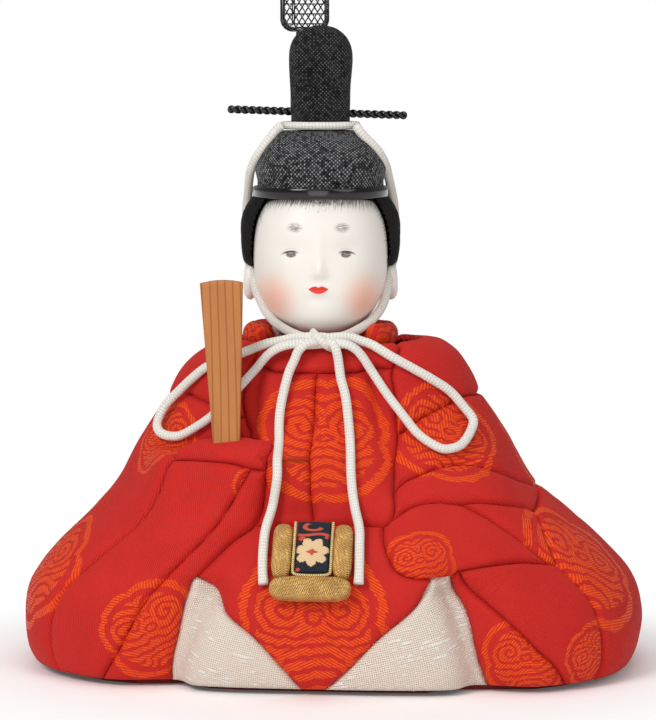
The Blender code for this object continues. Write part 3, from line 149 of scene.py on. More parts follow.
class Recipe:
    """Writes the nodes of one material, a call for each node."""

    def __init__(self, name: str) -> None:
        """Start a material.

        Args:
            name: the material's name.
        """
        self.material = bpy.data.materials.new(name)
        self.material.use_nodes = True
        self.tree = self.material.node_tree
        self.shader = self.tree.nodes["Principled BSDF"]

    def set(self, socket: bpy.types.NodeSocket, value: Value) -> None:
        """Link a signal to an input, or write a plain value on it.

        Args:
            socket: the input socket.
            value: a signal, a number or a row of numbers.
        """
        if isinstance(value, Signal):
            self.tree.links.new(value.socket, socket)
        else:
            socket.default_value = value

    def node(self, kind: str, *values: Value, out: int | str = 0, **settings: str) -> Signal:
        """Add one node.

        Args:
            kind: the node's kind, without its first words.
            *values: what its inputs take, in their order.
            out: which of its outputs is read.
            **settings: its own settings.

        Returns:
            The signal it gives.
        """
        node = self.tree.nodes.new(f"ShaderNode{kind}")
        for name, value in settings.items():
            setattr(node, name, value)
        for socket, value in zip(node.inputs, values):
            self.set(socket, value)
        return Signal(self, node.outputs[out])

    def gloss(self, **sockets: float | tuple[float, ...]) -> None:
        """Write constants on the shader's own sockets.

        Args:
            **sockets: socket names in lower case with underscores, and their values.
        """
        names = {socket.name.lower().replace(" ", "_"): socket for socket in self.shader.inputs}
        for name, value in sockets.items():
            names[name].default_value = value

    def surface(
        self, colour: Value, roughness: Value, height: Value | None = None, depth: float = 0.0
    ) -> bpy.types.Material:
        """Finish the material.

        Args:
            colour: its base colour.
            roughness: its roughness.
            height: its relief from 0 to 1.
            depth: how deep that relief is.

        Returns:
            The material.
        """
        self.set(self.shader.inputs["Base Color"], colour)
        self.set(self.shader.inputs["Roughness"], roughness)
        if height is not None:
            bump = self.tree.nodes.new("ShaderNodeBump")
            bump.inputs["Distance"].default_value = depth
            self.set(bump.inputs["Height"], height)
            self.set(self.shader.inputs["Normal"], Signal(self, bump.outputs["Normal"]))
        return self.material

    def math(self, operation: str, *values: Value) -> Signal:
        """One number from others, by a math node's operation."""
        return self.node("Math", *values, 0.0, 0.0, operation=operation)

    def least(self, *values: Value) -> Signal:
        """The least of several numbers."""
        return reduce(lambda one, two: self.math("MINIMUM", one, two), values)

    def most(self, *values: Value) -> Signal:
        """The greatest of several numbers."""
        return reduce(lambda one, two: self.math("MAXIMUM", one, two), values)

    def attribute(self, name: str) -> tuple[Signal, ...]:
        """The three numbers that a piece's points carry under a name."""
        return self.split(self.node("Attribute", out="Vector", attribute_name=name))

    def split(self, vector: Signal) -> tuple[Signal, ...]:
        """A vector's three numbers."""
        outputs = self.node("SeparateXYZ", vector).socket.node.outputs
        return tuple(Signal(self, socket) for socket in outputs)

    def join(self, x: Value, y: Value, z: Value = 0.0) -> Signal:
        """A vector of three numbers."""
        return self.node("CombineXYZ", x, y, z)

    def place(self) -> Signal:
        """The point's place on the object, in metres."""
        return self.node("TexCoord", out="Object")

    def noise(self, vector: Value, scale: float, detail: float = 2.0, rough: float = 0.5) -> Signal:
        """Cloudy noise."""
        return self.node("TexNoise", vector, 0.0, scale, detail, rough, out="Fac")

    def chance(self, vector: Value) -> Signal:
        """A chance number from 0 to 1 for each whole place."""
        return self.node("TexWhiteNoise", vector, out="Value")

    def step(self, value: Value, start: float, end: float) -> Signal:
        """A soft step from 0 to 1.

        Args:
            value: the number that is read.
            start: where the step is still 0.
            end: where it is 1, above or below the start.

        Returns:
            A number from 0 to 1.
        """
        low, high = (1.0, 0.0) if start > end else (0.0, 1.0)
        ends = (min(start, end), max(start, end), low, high)
        return self.node("MapRange", value, *ends, interpolation_type="SMOOTHSTEP")

    def thread(self, value: Signal) -> Signal:
        """Round threads side by side, one for each whole number: 0 between them, 1 on their backs."""
        return abs(self.math("SINE", value * math.pi))

    def whole(self, value: Value) -> Signal:
        """The whole number below a number."""
        return self.math("FLOOR", value)

    def cell(self, x: Value, y: Value) -> Signal:
        """The whole place that holds a place."""
        return self.join(self.whole(x), self.whole(y))

    def mix(self, factor: Value, one: Value, two: Value) -> Signal:
        """One colour turning into another.

        Args:
            factor: how far it has turned, from 0 to 1.
            one: the first colour.
            two: the second colour.

        Returns:
            The colour.
        """
        node = self.tree.nodes.new("ShaderNodeMix")
        node.data_type = "RGBA"
        for number, value in ((0, factor), (6, one), (7, two)):
            self.set(node.inputs[number], value)
        return Signal(self, node.outputs[2])

    def between(self, factor: Signal, one: Value, two: Value) -> Signal:
        """One number turning into another by the factor."""
        return one + factor * self.math("SUBTRACT", two, one)

    def reach(self, x: Signal, y: Signal) -> Signal:
        """How far a place lies from the middle."""
        return self.math("SQRT", x * x + y * y)

    def petal(self, x: Signal, y: Signal, centre: Place, chance: Value) -> Signal:
        """A curl of woven bands round a centre.

        Args:
            x: the place across.
            y: the place up.
            centre: the centre.
            chance: a number that makes its edges differ.

        Returns:
            1 in the bands.
        """
        across, up = x - centre[0], y - centre[1]
        reach = self.math("SQRT", across * across + up * (up * 1.3))
        angle = self.math("ARCTAN2", up, across)
        uneven = self.noise(self.join(x, y, chance), 5.0, 1.0)
        turn = reach * 6.2 + (angle * (1 / (2 * math.pi)) + uneven * 0.9)
        band = self.math("FRACT", turn)
        return self.least(self.step(band, 0.0, 0.08), self.step(band, 0.76, 0.68))

    def spot(self, x: Signal, y: Signal, centre: Place, radii: Place, soft: float) -> Signal:
        """A soft oval spot."""
        across, up = (x - centre[0]) / radii[0], (y - centre[1]) / radii[1]
        return self.step(self.reach(across, up), 1.0, 1.0 - soft)


# Finishes


@dataclass(frozen=True)
class Crepe:
    """Red silk crepe in fine twill, with medallions woven in floating orange threads; its low threads and
    the floats' sides are painted shade, and the floats carry painted sheen.
    """

    name: str
    ground: str = "CC2A24"
    # painted shade: the darker red drawn in the twill's low threads
    shade: str = "8C1114"
    float_thread: str = "F4521A"
    # painted shade: the darker orange drawn on the floats' sides and between them
    float_shade: str = "DA3814"
    float_pitch: float = 0.66 * MM
    twill_pitch: float = 0.52 * MM
    relief: float = 0.30 * MM

    def material(self) -> bpy.types.Material:
        """The cloth's material.

        Returns:
            A material that reads the attributes cloth and roundel.
        """
        r = Recipe(self.name)
        x, y, chance = r.attribute("cloth")
        sway = r.noise(r.join(x, y, chance), 160.0, 2.0)
        twill = r.thread((x + y) * (0.7071 / self.twill_pitch) + sway * 1.6)
        weft = r.thread((y - x * 0.35) * (1 / (self.twill_pitch * 0.8)))
        crepe = r.noise(r.join(x, y, chance), 2600.0, 2.0, 0.7)
        ground = twill * 0.42 + (weft * 0.18 + crepe * 0.55)

        u, v, weight = r.attribute("roundel")
        fold = r.math("SIGN", u)
        stitch = (y * 0.88 + fold * (x * 0.47)) * (1 / self.float_pitch)
        row = r.join(r.whole(stitch), fold, chance)
        ragged = r.chance(row) - 0.5
        along = x * 0.88 - fold * (y * 0.47)
        part = r.math("FRACT", along * (1 / (5.2 * self.float_pitch)) + ragged * 7.0)
        broken = r.least(r.step(part, 0.0, 0.10), r.step(part, 1.0, 0.90))
        strokes = r.thread(stitch) * (0.35 + broken * 0.65)

        drift = r.noise(r.join(u, v, chance), 2.4, 2.0) - 0.5
        slow = r.noise(r.join(u, v, chance + 9.0), 1.2, 1.0) - 0.5
        u = u + (drift * 0.12 + (slow * 0.26 + ragged * 0.045))
        v = v - (drift * 0.1 - slow * 0.2)
        reach = r.reach(u, v)
        angle = r.math("ARCTAN2", v, u)
        lobes = r.math("POWER", abs(r.math("SINE", angle * 2.0)), 0.55)
        share = reach / (lobes * 0.15 + 0.85)
        rim = r.least(r.step(share, 0.865, 0.88), r.step(share, 1.01, 0.99))

        half = abs(u)
        wing = r.petal(half, v, (0.36, 0.20), chance)
        fan = r.petal(half, v, (-0.04, -0.86), chance)
        flame = r.petal(half, v, (0.02, 0.10), chance)
        lower = r.step(v + half * 0.75, -0.1, -0.13)
        inner = r.step(half * 1.7 + abs(v - 0.08), 0.36, 0.33)
        figure = r.between(inner, r.between(lower, wing, fan), flame)
        figure = r.least(figure, r.step(share, 0.765, 0.75))
        floats = r.most(rim, figure) * r.step(weight, 0.4, 0.6)
        # painted sheen: patches of lighter orange laid over the floats
        lustre = r.noise(r.join(u, v, chance), 30.0, 2.0)
        strand = floats * r.step(strokes, 0.0, 0.14)

        # Painted shade: the twill's low threads are drawn darker from the weave's relief, and a slow noise
        # adds uneven tone of its own.
        worn = r.noise(r.join(x, y, chance), 90.0, 3.0)
        cloth = r.mix(r.step(ground + worn * 0.35, 0.25, 0.95), tint(self.shade), tint(self.ground))
        # Painted light and shade on the floats: each thread is drawn lighter on its back and darker at its
        # sides, with the painted sheen patches on top.
        silk = r.mix(
            r.step(strokes * 0.7 + lustre * 0.5, 0.35, 1.0), tint(self.float_shade), tint(self.float_thread)
        )
        height = ground * 0.4 * (1.0 - floats) + floats * (0.35 + strokes * 0.65)
        r.gloss(sheen_weight=0.10, sheen_roughness=0.45, sheen_tint=tint("FF9C8C"), specular_ior_level=0.15)
        return r.surface(
            r.mix(strand, cloth, silk), r.between(strand, 0.66 + crepe * 0.2, 0.48), height, self.relief
        )


@dataclass(frozen=True)
class IvoryBrocade:
    """Ivory basket weave of the trousers, with slubs of thicker thread and faint pink figures; the gaps
    between its threads are painted shade.
    """

    name: str = "ivory_brocade"
    thread: str = "F0E4D6"
    # painted shade: the colour drawn in the gaps between the threads
    gap: str = "BBAA95"
    blush: str = "E2A9A0"
    pitch: float = 0.52 * MM
    relief: float = 0.25 * MM

    def material(self) -> bpy.types.Material:
        """The cloth's material.

        Returns:
            A material that reads the attribute cloth.
        """
        r = Recipe(self.name)
        x, y, chance = r.attribute("cloth")
        across, up = x * (1 / self.pitch), y * (1 / self.pitch)
        warp, weft = r.thread(across), r.thread(up)
        odd = abs(r.math("MODULO", r.whole(across) + r.whole(up), 2.0))
        weave = r.between(odd, r.least(warp, 0.45 + weft * 0.55), r.least(weft, 0.45 + warp * 0.55))
        figure = r.noise(r.join(x, y, chance), 75.0, 2.0, 0.6)
        slub_rows = r.thread(up * 0.5)
        slub_part = r.step(r.noise(r.join(x * 0.35, y, chance), 900.0, 1.0), 0.5, 0.6)
        slub = slub_rows * slub_part * r.step(figure, 0.5, 0.56)
        edge = r.step(r.noise(r.join(x, y, chance + 3.0), 110.0, 3.0, 0.7), 0.56, 0.7)
        stain = edge * r.step(r.noise(r.join(x, y, chance + 7.0), 28.0, 1.0), 0.5, 0.66)
        # Painted shade: where the weave is low, between the threads, the colour is drawn darker.
        cloth = r.mix(r.step(weave, 0.08, 0.62), tint(self.gap), tint(self.thread))
        cloth = r.mix(slub * 0.8, cloth, tint("FBF8F0"))
        cloth = r.mix(stain * 0.55, cloth, tint(self.blush))
        r.gloss(sheen_weight=0.12, sheen_roughness=0.4, specular_ior_level=0.35)
        return r.surface(cloth, r.between(slub, 0.62, 0.38), weave * 0.6 + slub * 0.7, self.relief)


@dataclass(frozen=True)
class Braid:
    """White silk cord, plaited in a fine herringbone, with painted shade in the grooves between its
    strands.
    """

    name: str = "white_braid"
    thread: str = "F1EEE6"
    # painted shade: the colour drawn in the grooves between the strands
    gap: str = "BDB6A8"
    pitch: float = 0.80 * MM
    strands: int = 7
    relief: float = 0.13 * MM

    def material(self) -> bpy.types.Material:
        """The cord's material.

        Returns:
            A material that reads the attribute braid: run, share round the cord, chance.
        """
        r = Recipe(self.name)
        run, around, chance = r.attribute("braid")
        column = around * float(self.strands)
        slant = abs(r.math("FRACT", column) - 0.5)
        herring = r.thread(run * (1 / self.pitch) + slant * 1.3)
        rib = r.thread(column)
        fuzz = r.noise(r.join(run * 1.0, around * 0.007, chance), 3000.0, 2.0)
        height = herring * 0.55 + (rib * 0.3 + fuzz * 0.15)
        # Painted shade: the braid's low places are drawn darker from its relief.
        colour = r.mix(r.step(height, 0.15, 0.70), tint(self.gap), tint(self.thread))
        r.gloss(sheen_weight=0.15, sheen_roughness=0.35, specular_ior_level=0.4)
        return r.surface(colour, 0.46 + fuzz * 0.2, height, self.relief)


@dataclass(frozen=True)
class ShellWhite:
    """Ground-shell white of the head, with its painted features and first hairs."""

    name: str = "shell_white"
    ground: str = "F1EDE4"
    blush: str = "FBA47C"
    mouth: str = "E8331F"
    line: str = "261B17"
    brow: str = "756C67"
    middle: float = -0.50
    eye: Place = (7.0, 103.3)
    brow_place: Place = (5.8, 110.0)
    mouth_height: float = 94.9

    def material(self) -> bpy.types.Material:
        """The head's material.

        Returns:
            A material that reads the attributes face and hairline, both in millimetres.
        """
        r = Recipe(self.name)
        x, z, front = r.attribute("face")
        x = x - self.middle
        side = abs(x)
        cloud = r.noise(r.place(), 60.0, 3.0)
        grain = r.noise(r.place(), 900.0, 2.0)
        colour = r.mix(cloud * 0.25, tint(self.ground), tint("ECE4DE"))
        flush = r.spot(side, z, (11.4, 92.4), (7.8, 9.0), 1.0)
        colour = r.mix(flush * front * 0.62, colour, tint(self.blush))

        streak = r.noise(r.join(x * 0.5, z * 3.2), 1.6, 2.0)
        brow = r.spot(side, z, self.brow_place, (2.5, 1.6), 0.8) * r.step(streak, 0.3, 0.6)
        colour = r.mix(brow * front * 0.9, colour, tint(self.brow))

        out, up = side - self.eye[0], z - self.eye[1]
        lid = 0.8 - (out * 0.1 + out * out * 0.105)
        taper = r.step(abs(out), 2.6, 0.9)
        lid_line = r.step(abs(up - lid), 0.36, 0.12) * taper
        iris = r.spot(out, up, (-0.25, 0.15), (1.55, 1.0), 0.40) * r.step(up - lid, 0.1, -0.05)
        iris = iris * (0.55 + r.step(streak, 0.3, 0.6) * 0.45)
        # Painted shade: a faint grey line drawn where the lid folds above the eye.
        crease = r.step(abs(up - (lid + 0.75)), 0.3, 0.0) * taper
        colour = r.mix(crease * 0.22 * taper * front, colour, tint("9A8C84"))
        colour = r.mix(r.most(lid_line, iris) * front * 0.95, colour, tint(self.line))

        above = z - self.mouth_height
        bow = 0.95 * r.math("COSINE", r.least(side * (math.pi / 5.0), math.pi / 2))
        dip = 0.48 * r.math("EXPONENT", side * side * -3.2)
        lower = -1.1 * (1.0 - r.least(side * side * 0.163, 1.0))
        lips = r.step(above - (bow - dip), 0.14, -0.06) * r.step(above - lower, -0.1, 0.12)
        lips = lips * r.step(side, 2.55, 2.35)
        meet = r.step(abs(above - 0.05), 0.16, 0.02)
        lip_colour = r.mix(meet * 0.5, tint(self.mouth), tint("A81D16"))
        colour = r.mix(lips * front, colour, lip_colour)

        run, away, _ = r.attribute("hairline")
        lean = run + away * 0.22
        reach = 0.5 + r.math("POWER", r.noise(r.join(lean, 0.0), 2.6, 1.0), 2.0) * 9.5
        strand = r.step(r.noise(r.join(lean, 5.0), 3.4, 1.0), 0.40, 0.56)
        root = r.step(away / reach, 1.0, 0.15)
        hair = r.most(root * strand * 0.9, r.step(away, 0.7, 0.1))
        colour = r.mix(hair, colour, tint("161414"))
        r.gloss(
            subsurface_weight=0.08, subsurface_scale=0.0015, subsurface_radius=(1.0, 0.55, 0.4),
            coat_weight=0.12, coat_roughness=0.35,
        )
        return r.surface(colour, 0.4 + grain * 0.12, cloud + grain * 0.35, 0.04 * MM)


@dataclass(frozen=True)
class SilkHair:
    """Black silk hair combed down in fine strands, with painted glints on the raised strands."""

    name: str = "silk_hair"
    black: str = "060606"
    # painted highlight: the grey drawn on the raised strands
    glint: str = "252424"
    strand: float = 0.26 * MM

    def material(self) -> bpy.types.Material:
        """The hair's material.

        Returns:
            A material that reads the attribute cloth: across the strands, along them, chance.
        """
        r = Recipe(self.name)
        across, along, chance = r.attribute("cloth")
        sway = r.noise(r.join(across * 0.4, along, chance), 120.0, 2.0)
        lock = r.noise(r.join(across * 1.0 + sway * 0.002, along * 0.05, chance), 700.0, 2.0)
        fine = r.thread(across * (1 / self.strand) + sway * 4.0)
        height = fine * 0.45 + lock * 0.6
        # Painted highlights: the raised strands and locks are drawn grey over the black.
        colour = r.mix(r.step(height, 0.35, 0.95), tint(self.black), tint(self.glint))
        r.gloss(specular_ior_level=0.16)
        return r.surface(colour, 0.48 + lock * 0.2, height, 0.22 * MM)


@dataclass(frozen=True)
class Gauze:
    """Stiff black gauze of the cap, woven in slanting pairs and lightly lacquered; the grey glints on its
    threads are painted highlights.
    """

    name: str = "black_gauze"
    black: str = "050505"
    # painted highlight: the grey drawn where a thread catches the light
    glint: str = "A9A9AD"
    pitch: float = 0.66 * MM

    def material(self) -> bpy.types.Material:
        """The gauze's material.

        Returns:
            A material that reads the attribute cloth.
        """
        r = Recipe(self.name)
        x, y, chance = r.attribute("cloth")
        sway = r.noise(r.join(x, y, chance), 45.0, 1.0) * 2.0
        one = (x + y) * (0.7071 / self.pitch) + sway
        two = (x - y) * (0.7071 / self.pitch) + sway * 0.5
        over, under = r.thread(one), r.thread(two)
        odd = abs(r.math("MODULO", r.whole(one) + r.whole(two), 2.0))
        weave = r.between(odd, r.least(over, 0.3 + under * 0.7), r.least(under, 0.3 + over * 0.7))
        # Painted highlights: grey glints drawn on the threads' backs in uneven patches, fewer on the cup
        # than on the crown.
        glint_fleck = r.chance(r.cell(one, two))
        cloud = r.noise(r.join(x, y, chance), 110.0, 2.0)
        lit = r.step(weave, 0.35, 0.95) * r.step(glint_fleck + cloud, 0.3, 1.6)
        lit = lit * r.between(r.step(chance, 0.45, 0.55), 0.95, 0.28)
        colour = r.mix(lit * 0.9, tint(self.black), tint(self.glint))
        r.gloss(specular_ior_level=0.22, coat_weight=0.0)
        return r.surface(colour, r.between(lit, 0.55, 0.30), weave, 0.30 * MM)


@dataclass(frozen=True)
class Lacquer:
    """Polished black lacquer."""

    name: str = "black_lacquer"
    black: str = "0A0A0C"

    def material(self) -> bpy.types.Material:
        """The lacquer's material.

        Returns:
            A material that reads only the point's place.
        """
        r = Recipe(self.name)
        cloud = r.noise(r.place(), 220.0, 3.0)
        dust = r.step(r.noise(r.place(), 2400.0, 1.0), 0.66, 0.75)
        colour = r.mix(dust * 0.25, tint(self.black), tint("34343A"))
        r.gloss(coat_weight=0.45, coat_roughness=0.03, specular_ior_level=0.35)
        return r.surface(colour, 0.1 + cloud * 0.12, cloud, 0.03 * MM)


@dataclass(frozen=True)
class Timber:
    """Bare straight-grained wood, pores and dark growth lines along it."""

    name: str
    pale: str
    dark: str
    ring: float = 1.9 * MM
    grain_attribute: bool = True

    def material(self) -> bpy.types.Material:
        """The wood's material.

        Returns:
            A material that reads the attribute cloth (across, along, chance), or the point's place.
        """
        r = Recipe(self.name)
        if self.grain_attribute:
            across, along, deep = r.attribute("cloth")
        else:
            across, deep, along = r.split(r.place())
        bend = r.noise(r.join(across * 0.5, along * 0.12, deep), 120.0, 2.0) * 0.0016
        ringed = r.math("FRACT", (across + bend) * (1 / self.ring))
        line = r.least(r.step(ringed, 0.70, 0.86), r.step(ringed, 1.0, 0.90))
        fibre = r.noise(r.join(across, along * 0.03, deep), 4200.0, 3.0, 0.7)
        cloud = r.noise(r.join(across, along * 0.3, deep), 160.0, 2.0)
        pale = r.mix(cloud * 0.55, tint(self.pale), tint(self.dark))
        colour = r.mix((line * 0.75 + r.step(fibre, 0.55, 0.8) * 0.25) * 0.85, pale, tint(self.dark))
        r.gloss(specular_ior_level=0.35)
        return r.surface(colour, 0.48 + fibre * 0.25, fibre + line * 0.6, 0.05 * MM)


@dataclass(frozen=True)
class GoldThread:
    """Straw-gold brocade of flat thread wound over padding, with painted light and shade on its threads and
    painted glints.
    """

    name: str = "gold_brocade"
    bright: str = "EBB968"
    # painted shade: the colour drawn between the threads
    dark: str = "6B4014"
    pitch: float = 0.42 * MM

    def material(self) -> bpy.types.Material:
        """The brocade's material.

        Returns:
            A material that reads the attribute cloth.
        """
        r = Recipe(self.name)
        x, y, chance = r.attribute("cloth")
        sway = r.noise(r.join(x, y, chance), 300.0, 2.0) * 2.4
        threads = r.thread((y + x * 0.45) * (1 / self.pitch) + sway)
        cross = r.thread((x - y * 0.3) * (1 / (self.pitch * 2.2)) + sway)
        patch = r.noise(r.join(x, y, chance), 260.0, 2.0)
        height = threads * 0.65 + r.least(cross, patch) * 0.5
        # Painted light and shade: the threads' backs are drawn bright and the gaps between them dark, and a
        # slow noise adds uneven tone of its own.
        colour = r.mix(r.step(height + patch * 0.4, 0.3, 1.15), tint(self.dark), tint(self.bright))
        copper = r.step(r.noise(r.join(x, y, chance + 4.0), 420.0, 1.0), 0.6, 0.7)
        colour = r.mix(copper * 0.45, colour, tint("B8641E"))
        # Painted glints: pale bright specks drawn on single thread cells.
        glint_fleck = r.step(r.chance(r.cell(x * 2600.0, y * 2600.0)), 0.93, 0.97)
        colour = r.mix(glint_fleck * 0.5, colour, tint("F6DFA0"))
        r.gloss(metallic=0.30, specular_ior_level=0.5)
        return r.surface(colour, 0.55 - height * 0.2, height, 0.22 * MM)


@dataclass(frozen=True)
class FlowerBand:
    """Navy brocade band with a cream flower and curls of red thread, with painted shade between its
    threads.
    """

    name: str = "navy_band"
    navy: str = "0D1A28"
    cream: str = "E9C89A"
    red: str = "C4452F"
    stitch: float = 0.34 * MM

    def material(self) -> bpy.types.Material:
        """The band's material.

        Returns:
            A material that reads the attribute cloth, here millimetres from the flower's centre.
        """
        r = Recipe(self.name)
        x, y, _ = r.attribute("cloth")
        jag = (r.chance(r.cell(x * 3.2, y * 3.2)) - 0.5) * 0.34
        reach = r.math("SQRT", x * x + y * y * 1.25)
        angle = r.math("ARCTAN2", y * 1.1, x)
        petals = abs(r.math("SINE", (angle + 0.25) * 3.5))
        flower = r.step(reach + jag - (2.95 + petals * 1.25), 0.12, -0.12)
        heart = r.step(abs(x * 0.72) + abs(y * 1.1) + jag, 1.05, 0.85)
        line = r.step(abs(y - (4.55 + r.math("SINE", x * 0.9) * 0.18)), 0.42, 0.26)
        curl_y = y - 6.6
        curl_reach = r.math("SQRT", x * (x * 0.5) + curl_y * (curl_y * 2.4))
        curl = r.least(
            r.step(abs(curl_reach - 1.45), 0.52, 0.3), r.step(curl_y + x * 0.35, 0.65, 0.25)
        )
        bud = r.spot(x, y, (-2.6, 3.5), (1.1, 0.7), 0.4)
        dot = r.most(
            r.spot(x, y, (-3.2, -4.6), (0.75, 0.55), 0.4), r.spot(x, y, (3.3, 3.9), (0.6, 0.5), 0.4)
        )
        reds = r.most(line, curl, bud, dot)
        threads = r.thread((x + y * 0.25) * (MM / self.stitch))
        rows = r.thread((y + x * 0.35) * (MM / (self.stitch * 1.4)))
        # Painted shade: the navy is drawn darker between the threads.
        colour = r.mix(r.step(threads, 0.1, 0.8), tint("060C14"), tint(self.navy))
        colour = r.mix(reds, colour, tint(self.red))
        # Painted shade: the cream petals are drawn darker between their rows of thread.
        petal_colour = r.mix(r.step(rows, 0.05, 0.6), tint("C39A68"), tint(self.cream))
        colour = r.mix(flower, colour, petal_colour)
        colour = r.mix(heart, colour, tint(self.red))
        figure = r.most(flower, reds * 0.8)
        height = threads * (1.0 - figure) * 0.5 + figure * (0.5 + rows * 0.5)
        r.gloss(sheen_weight=0.1, specular_ior_level=0.35)
        return r.surface(colour, 0.62 - figure * 0.12, height, 0.18 * MM)


@dataclass(frozen=True)
class GoldPiping:
    """Pale gold twist along the band, its ridges painted highlight and its grooves painted shade."""

    name: str = "gold_piping"

    def material(self) -> bpy.types.Material:
        """The piping's material.

        Returns:
            A material that reads the attribute braid.
        """
        r = Recipe(self.name)
        run, around, _ = r.attribute("braid")
        twist = r.thread(run * (1 / (0.55 * MM)) + around * 2.0)
        # Painted light and shade: the twist is drawn bright on its ridges and dark in its grooves.
        colour = r.mix(r.step(twist, 0.1, 0.9), tint("8A5B22"), tint("F2DA9A"))
        r.gloss(metallic=0.35)
        return r.surface(colour, 0.45 - twist * 0.15, twist, 0.12 * MM)


@dataclass(frozen=True)
class PlainSilk:
    """Thin silk with a faint figure, for the inner collar."""

    name: str = "pale_silk"
    thread: str = "F0DEDF"
    figure: str = "D9A9AE"

    def material(self) -> bpy.types.Material:
        """The silk's material.

        Returns:
            A material that reads the attribute cloth.
        """
        r = Recipe(self.name)
        x, y, chance = r.attribute("cloth")
        rib = r.thread(y * (1 / (0.4 * MM)))
        rows = r.thread(x * (1 / (0.5 * MM)))
        figure = r.step(r.noise(r.join(x, y, chance), 420.0, 2.0), 0.52, 0.60)
        colour = r.mix(figure * 0.5, tint(self.thread), tint(self.figure))
        r.gloss(sheen_weight=0.2, sheen_roughness=0.4)
        return r.surface(colour, 0.55, rib * 0.5 + (rows * 0.3 + figure * 0.4), 0.12 * MM)


@dataclass(frozen=True)
class Paper:
    """Dull red mulberry paper under the base."""

    name: str = "base_paper"
    sheet: str = "7A1A16"

    def material(self) -> bpy.types.Material:
        """The paper's material.

        Returns:
            A material that reads only the point's place.
        """
        r = Recipe(self.name)
        fibre = r.noise(r.place(), 700.0, 4.0, 0.75)
        cloud = r.noise(r.place(), 60.0, 2.0)
        colour = r.mix(fibre * 0.5 + cloud * 0.4, tint(self.sheet), tint("A33A30"))
        return r.surface(colour, 0.75 + fibre * 0.2, fibre, 0.08 * MM)


@dataclass(frozen=True)
class WoodPaste:
    """Pressed sawdust paste of the core, speckled, and faced with red at the neck."""

    name: str = "wood_paste"
    paste: str = "7B3A24"
    facing: str = "B8241C"
    facing_low: float = 76.0 * MM
    facing_full: float = 77.5 * MM

    def material(self) -> bpy.types.Material:
        """The paste's material.

        Returns:
            A material that reads only the point's place.
        """
        r = Recipe(self.name)
        speck = r.noise(r.place(), 1500.0, 3.0, 0.7)
        cloud = r.noise(r.place(), 90.0, 2.0)
        colour = r.mix(r.step(speck, 0.3, 0.75), tint("5A1512"), tint(self.paste))
        colour = r.mix(cloud * 0.4, colour, tint("6B120F"))
        height = r.split(r.place())[2]
        colour = r.mix(r.step(height, self.facing_low, self.facing_full), colour, tint(self.facing))
        return r.surface(colour, 0.78 + speck * 0.18, speck, 0.2 * MM)


# Meshes from rows of points


def lattice(rows: int, columns: int, around: bool = False, closed: bool = False) -> list[tuple[int, ...]]:
    """The faces of a grid of points.

    Args:
        rows: how many rows it has.
        columns: how many points a row has.
        around: whether each row closes on itself.
        closed: whether the last row joins the first.

    Returns:
        The faces, as point numbers.
    """
    faces = []
    for row in range(rows if closed else rows - 1):
        after = (row + 1) % rows
        for column in range(columns if around else columns - 1):
            beside = (column + 1) % columns
            faces.append(
                (
                    row * columns + column, row * columns + beside, after * columns + beside,
                    after * columns + column,
                )
            )
    return faces


def shown(name: str, data: bpy.types.ID) -> bpy.types.Object:
    """Put a mesh, a lamp or a camera in the scene.

    Args:
        name: the object's name.
        data: what it shows.

    Returns:
        The object.
    """
    made = bpy.data.objects.new(name, data)
    bpy.context.scene.collection.objects.link(made)
    return made


def piece(
    name: str, points: Grid, faces: Faces, look: bpy.types.Material, body: Body | None, slot: Slot,
    node: str | None,
    **carried: Grid,
) -> bpy.types.Object:
    """Put one piece of the look in the scene.

    Args:
        name: the piece's name.
        points: its points in the doll's frame.
        faces: its faces.
        look: its material.
        body: the packed body it moves with, if it isn't blended between two.
        slot: its material slot, not used.
        node: the packed node that it takes the place of.
        **carried: numbers that its points carry for the material, three for each point.

    Returns:
        The piece.
    """
    data = bpy.data.meshes.new(name)
    data.from_pydata(points.reshape(-1, 3).tolist(), [], faces)
    data.materials.append(look)
    for key, rows in carried.items():
        layer = data.attributes.new(key, "FLOAT_VECTOR", "POINT")
        layer.data.foreach_set("vector", np.ascontiguousarray(rows, dtype=np.float32).ravel())
    shape = bmesh.new()
    shape.from_mesh(data)
    bmesh.ops.recalc_face_normals(shape, faces=shape.faces)
    shape.to_mesh(data)
    shape.free()
    data.shade_smooth()
    made = shown(name, data)
    if body is not None:
        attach(made, body.value)
    if node is not None:
        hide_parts(node)
    workshop.info("made %s, %d points", name, len(data.vertices))
    return made


def squared(turn: Grid, square: float) -> Grid:
    """How far a ring of half width 1 reaches at each turn: round at 2, squarer above."""
    return (np.abs(np.cos(turn)) ** square + np.abs(np.sin(turn)) ** square) ** (-1 / square)


def unit(rows: Grid) -> Grid:
    """Rows of numbers scaled to length 1."""
    return rows / np.maximum(np.linalg.norm(rows, axis=-1, keepdims=True), 1e-12)


def through(values: Grid, share: Grid) -> Grid:
    """Smooth curve through rows of numbers, read at shares of its length.

    Args:
        values: the rows that it goes through.
        share: where it is read, each from 0 to 1.

    Returns:
        A row for each share.
    """
    last = len(values) - 1
    at = np.clip(share, 0, 1) * last
    index = np.minimum(at.astype(int), last - 1)
    part = (at - index)[:, None]
    here, after = values[index], values[index + 1]
    before = np.where((index > 0)[:, None], values[np.maximum(index - 1, 0)], 2 * here - after)
    beyond = np.where((index + 2 <= last)[:, None], values[np.minimum(index + 2, last)], 2 * after - here)
    bend = 2 * before - 5 * here + 4 * after - beyond
    twist = beyond - before + 3 * (here - after)
    return here + ((after - before) + (bend + twist * part) * part) * part / 2


def runs_along(points: Grid) -> Grid:
    """The run from the first point to each point of a row."""
    return np.concatenate([[0], np.cumsum(np.linalg.norm(np.diff(points, axis=0), axis=1))])


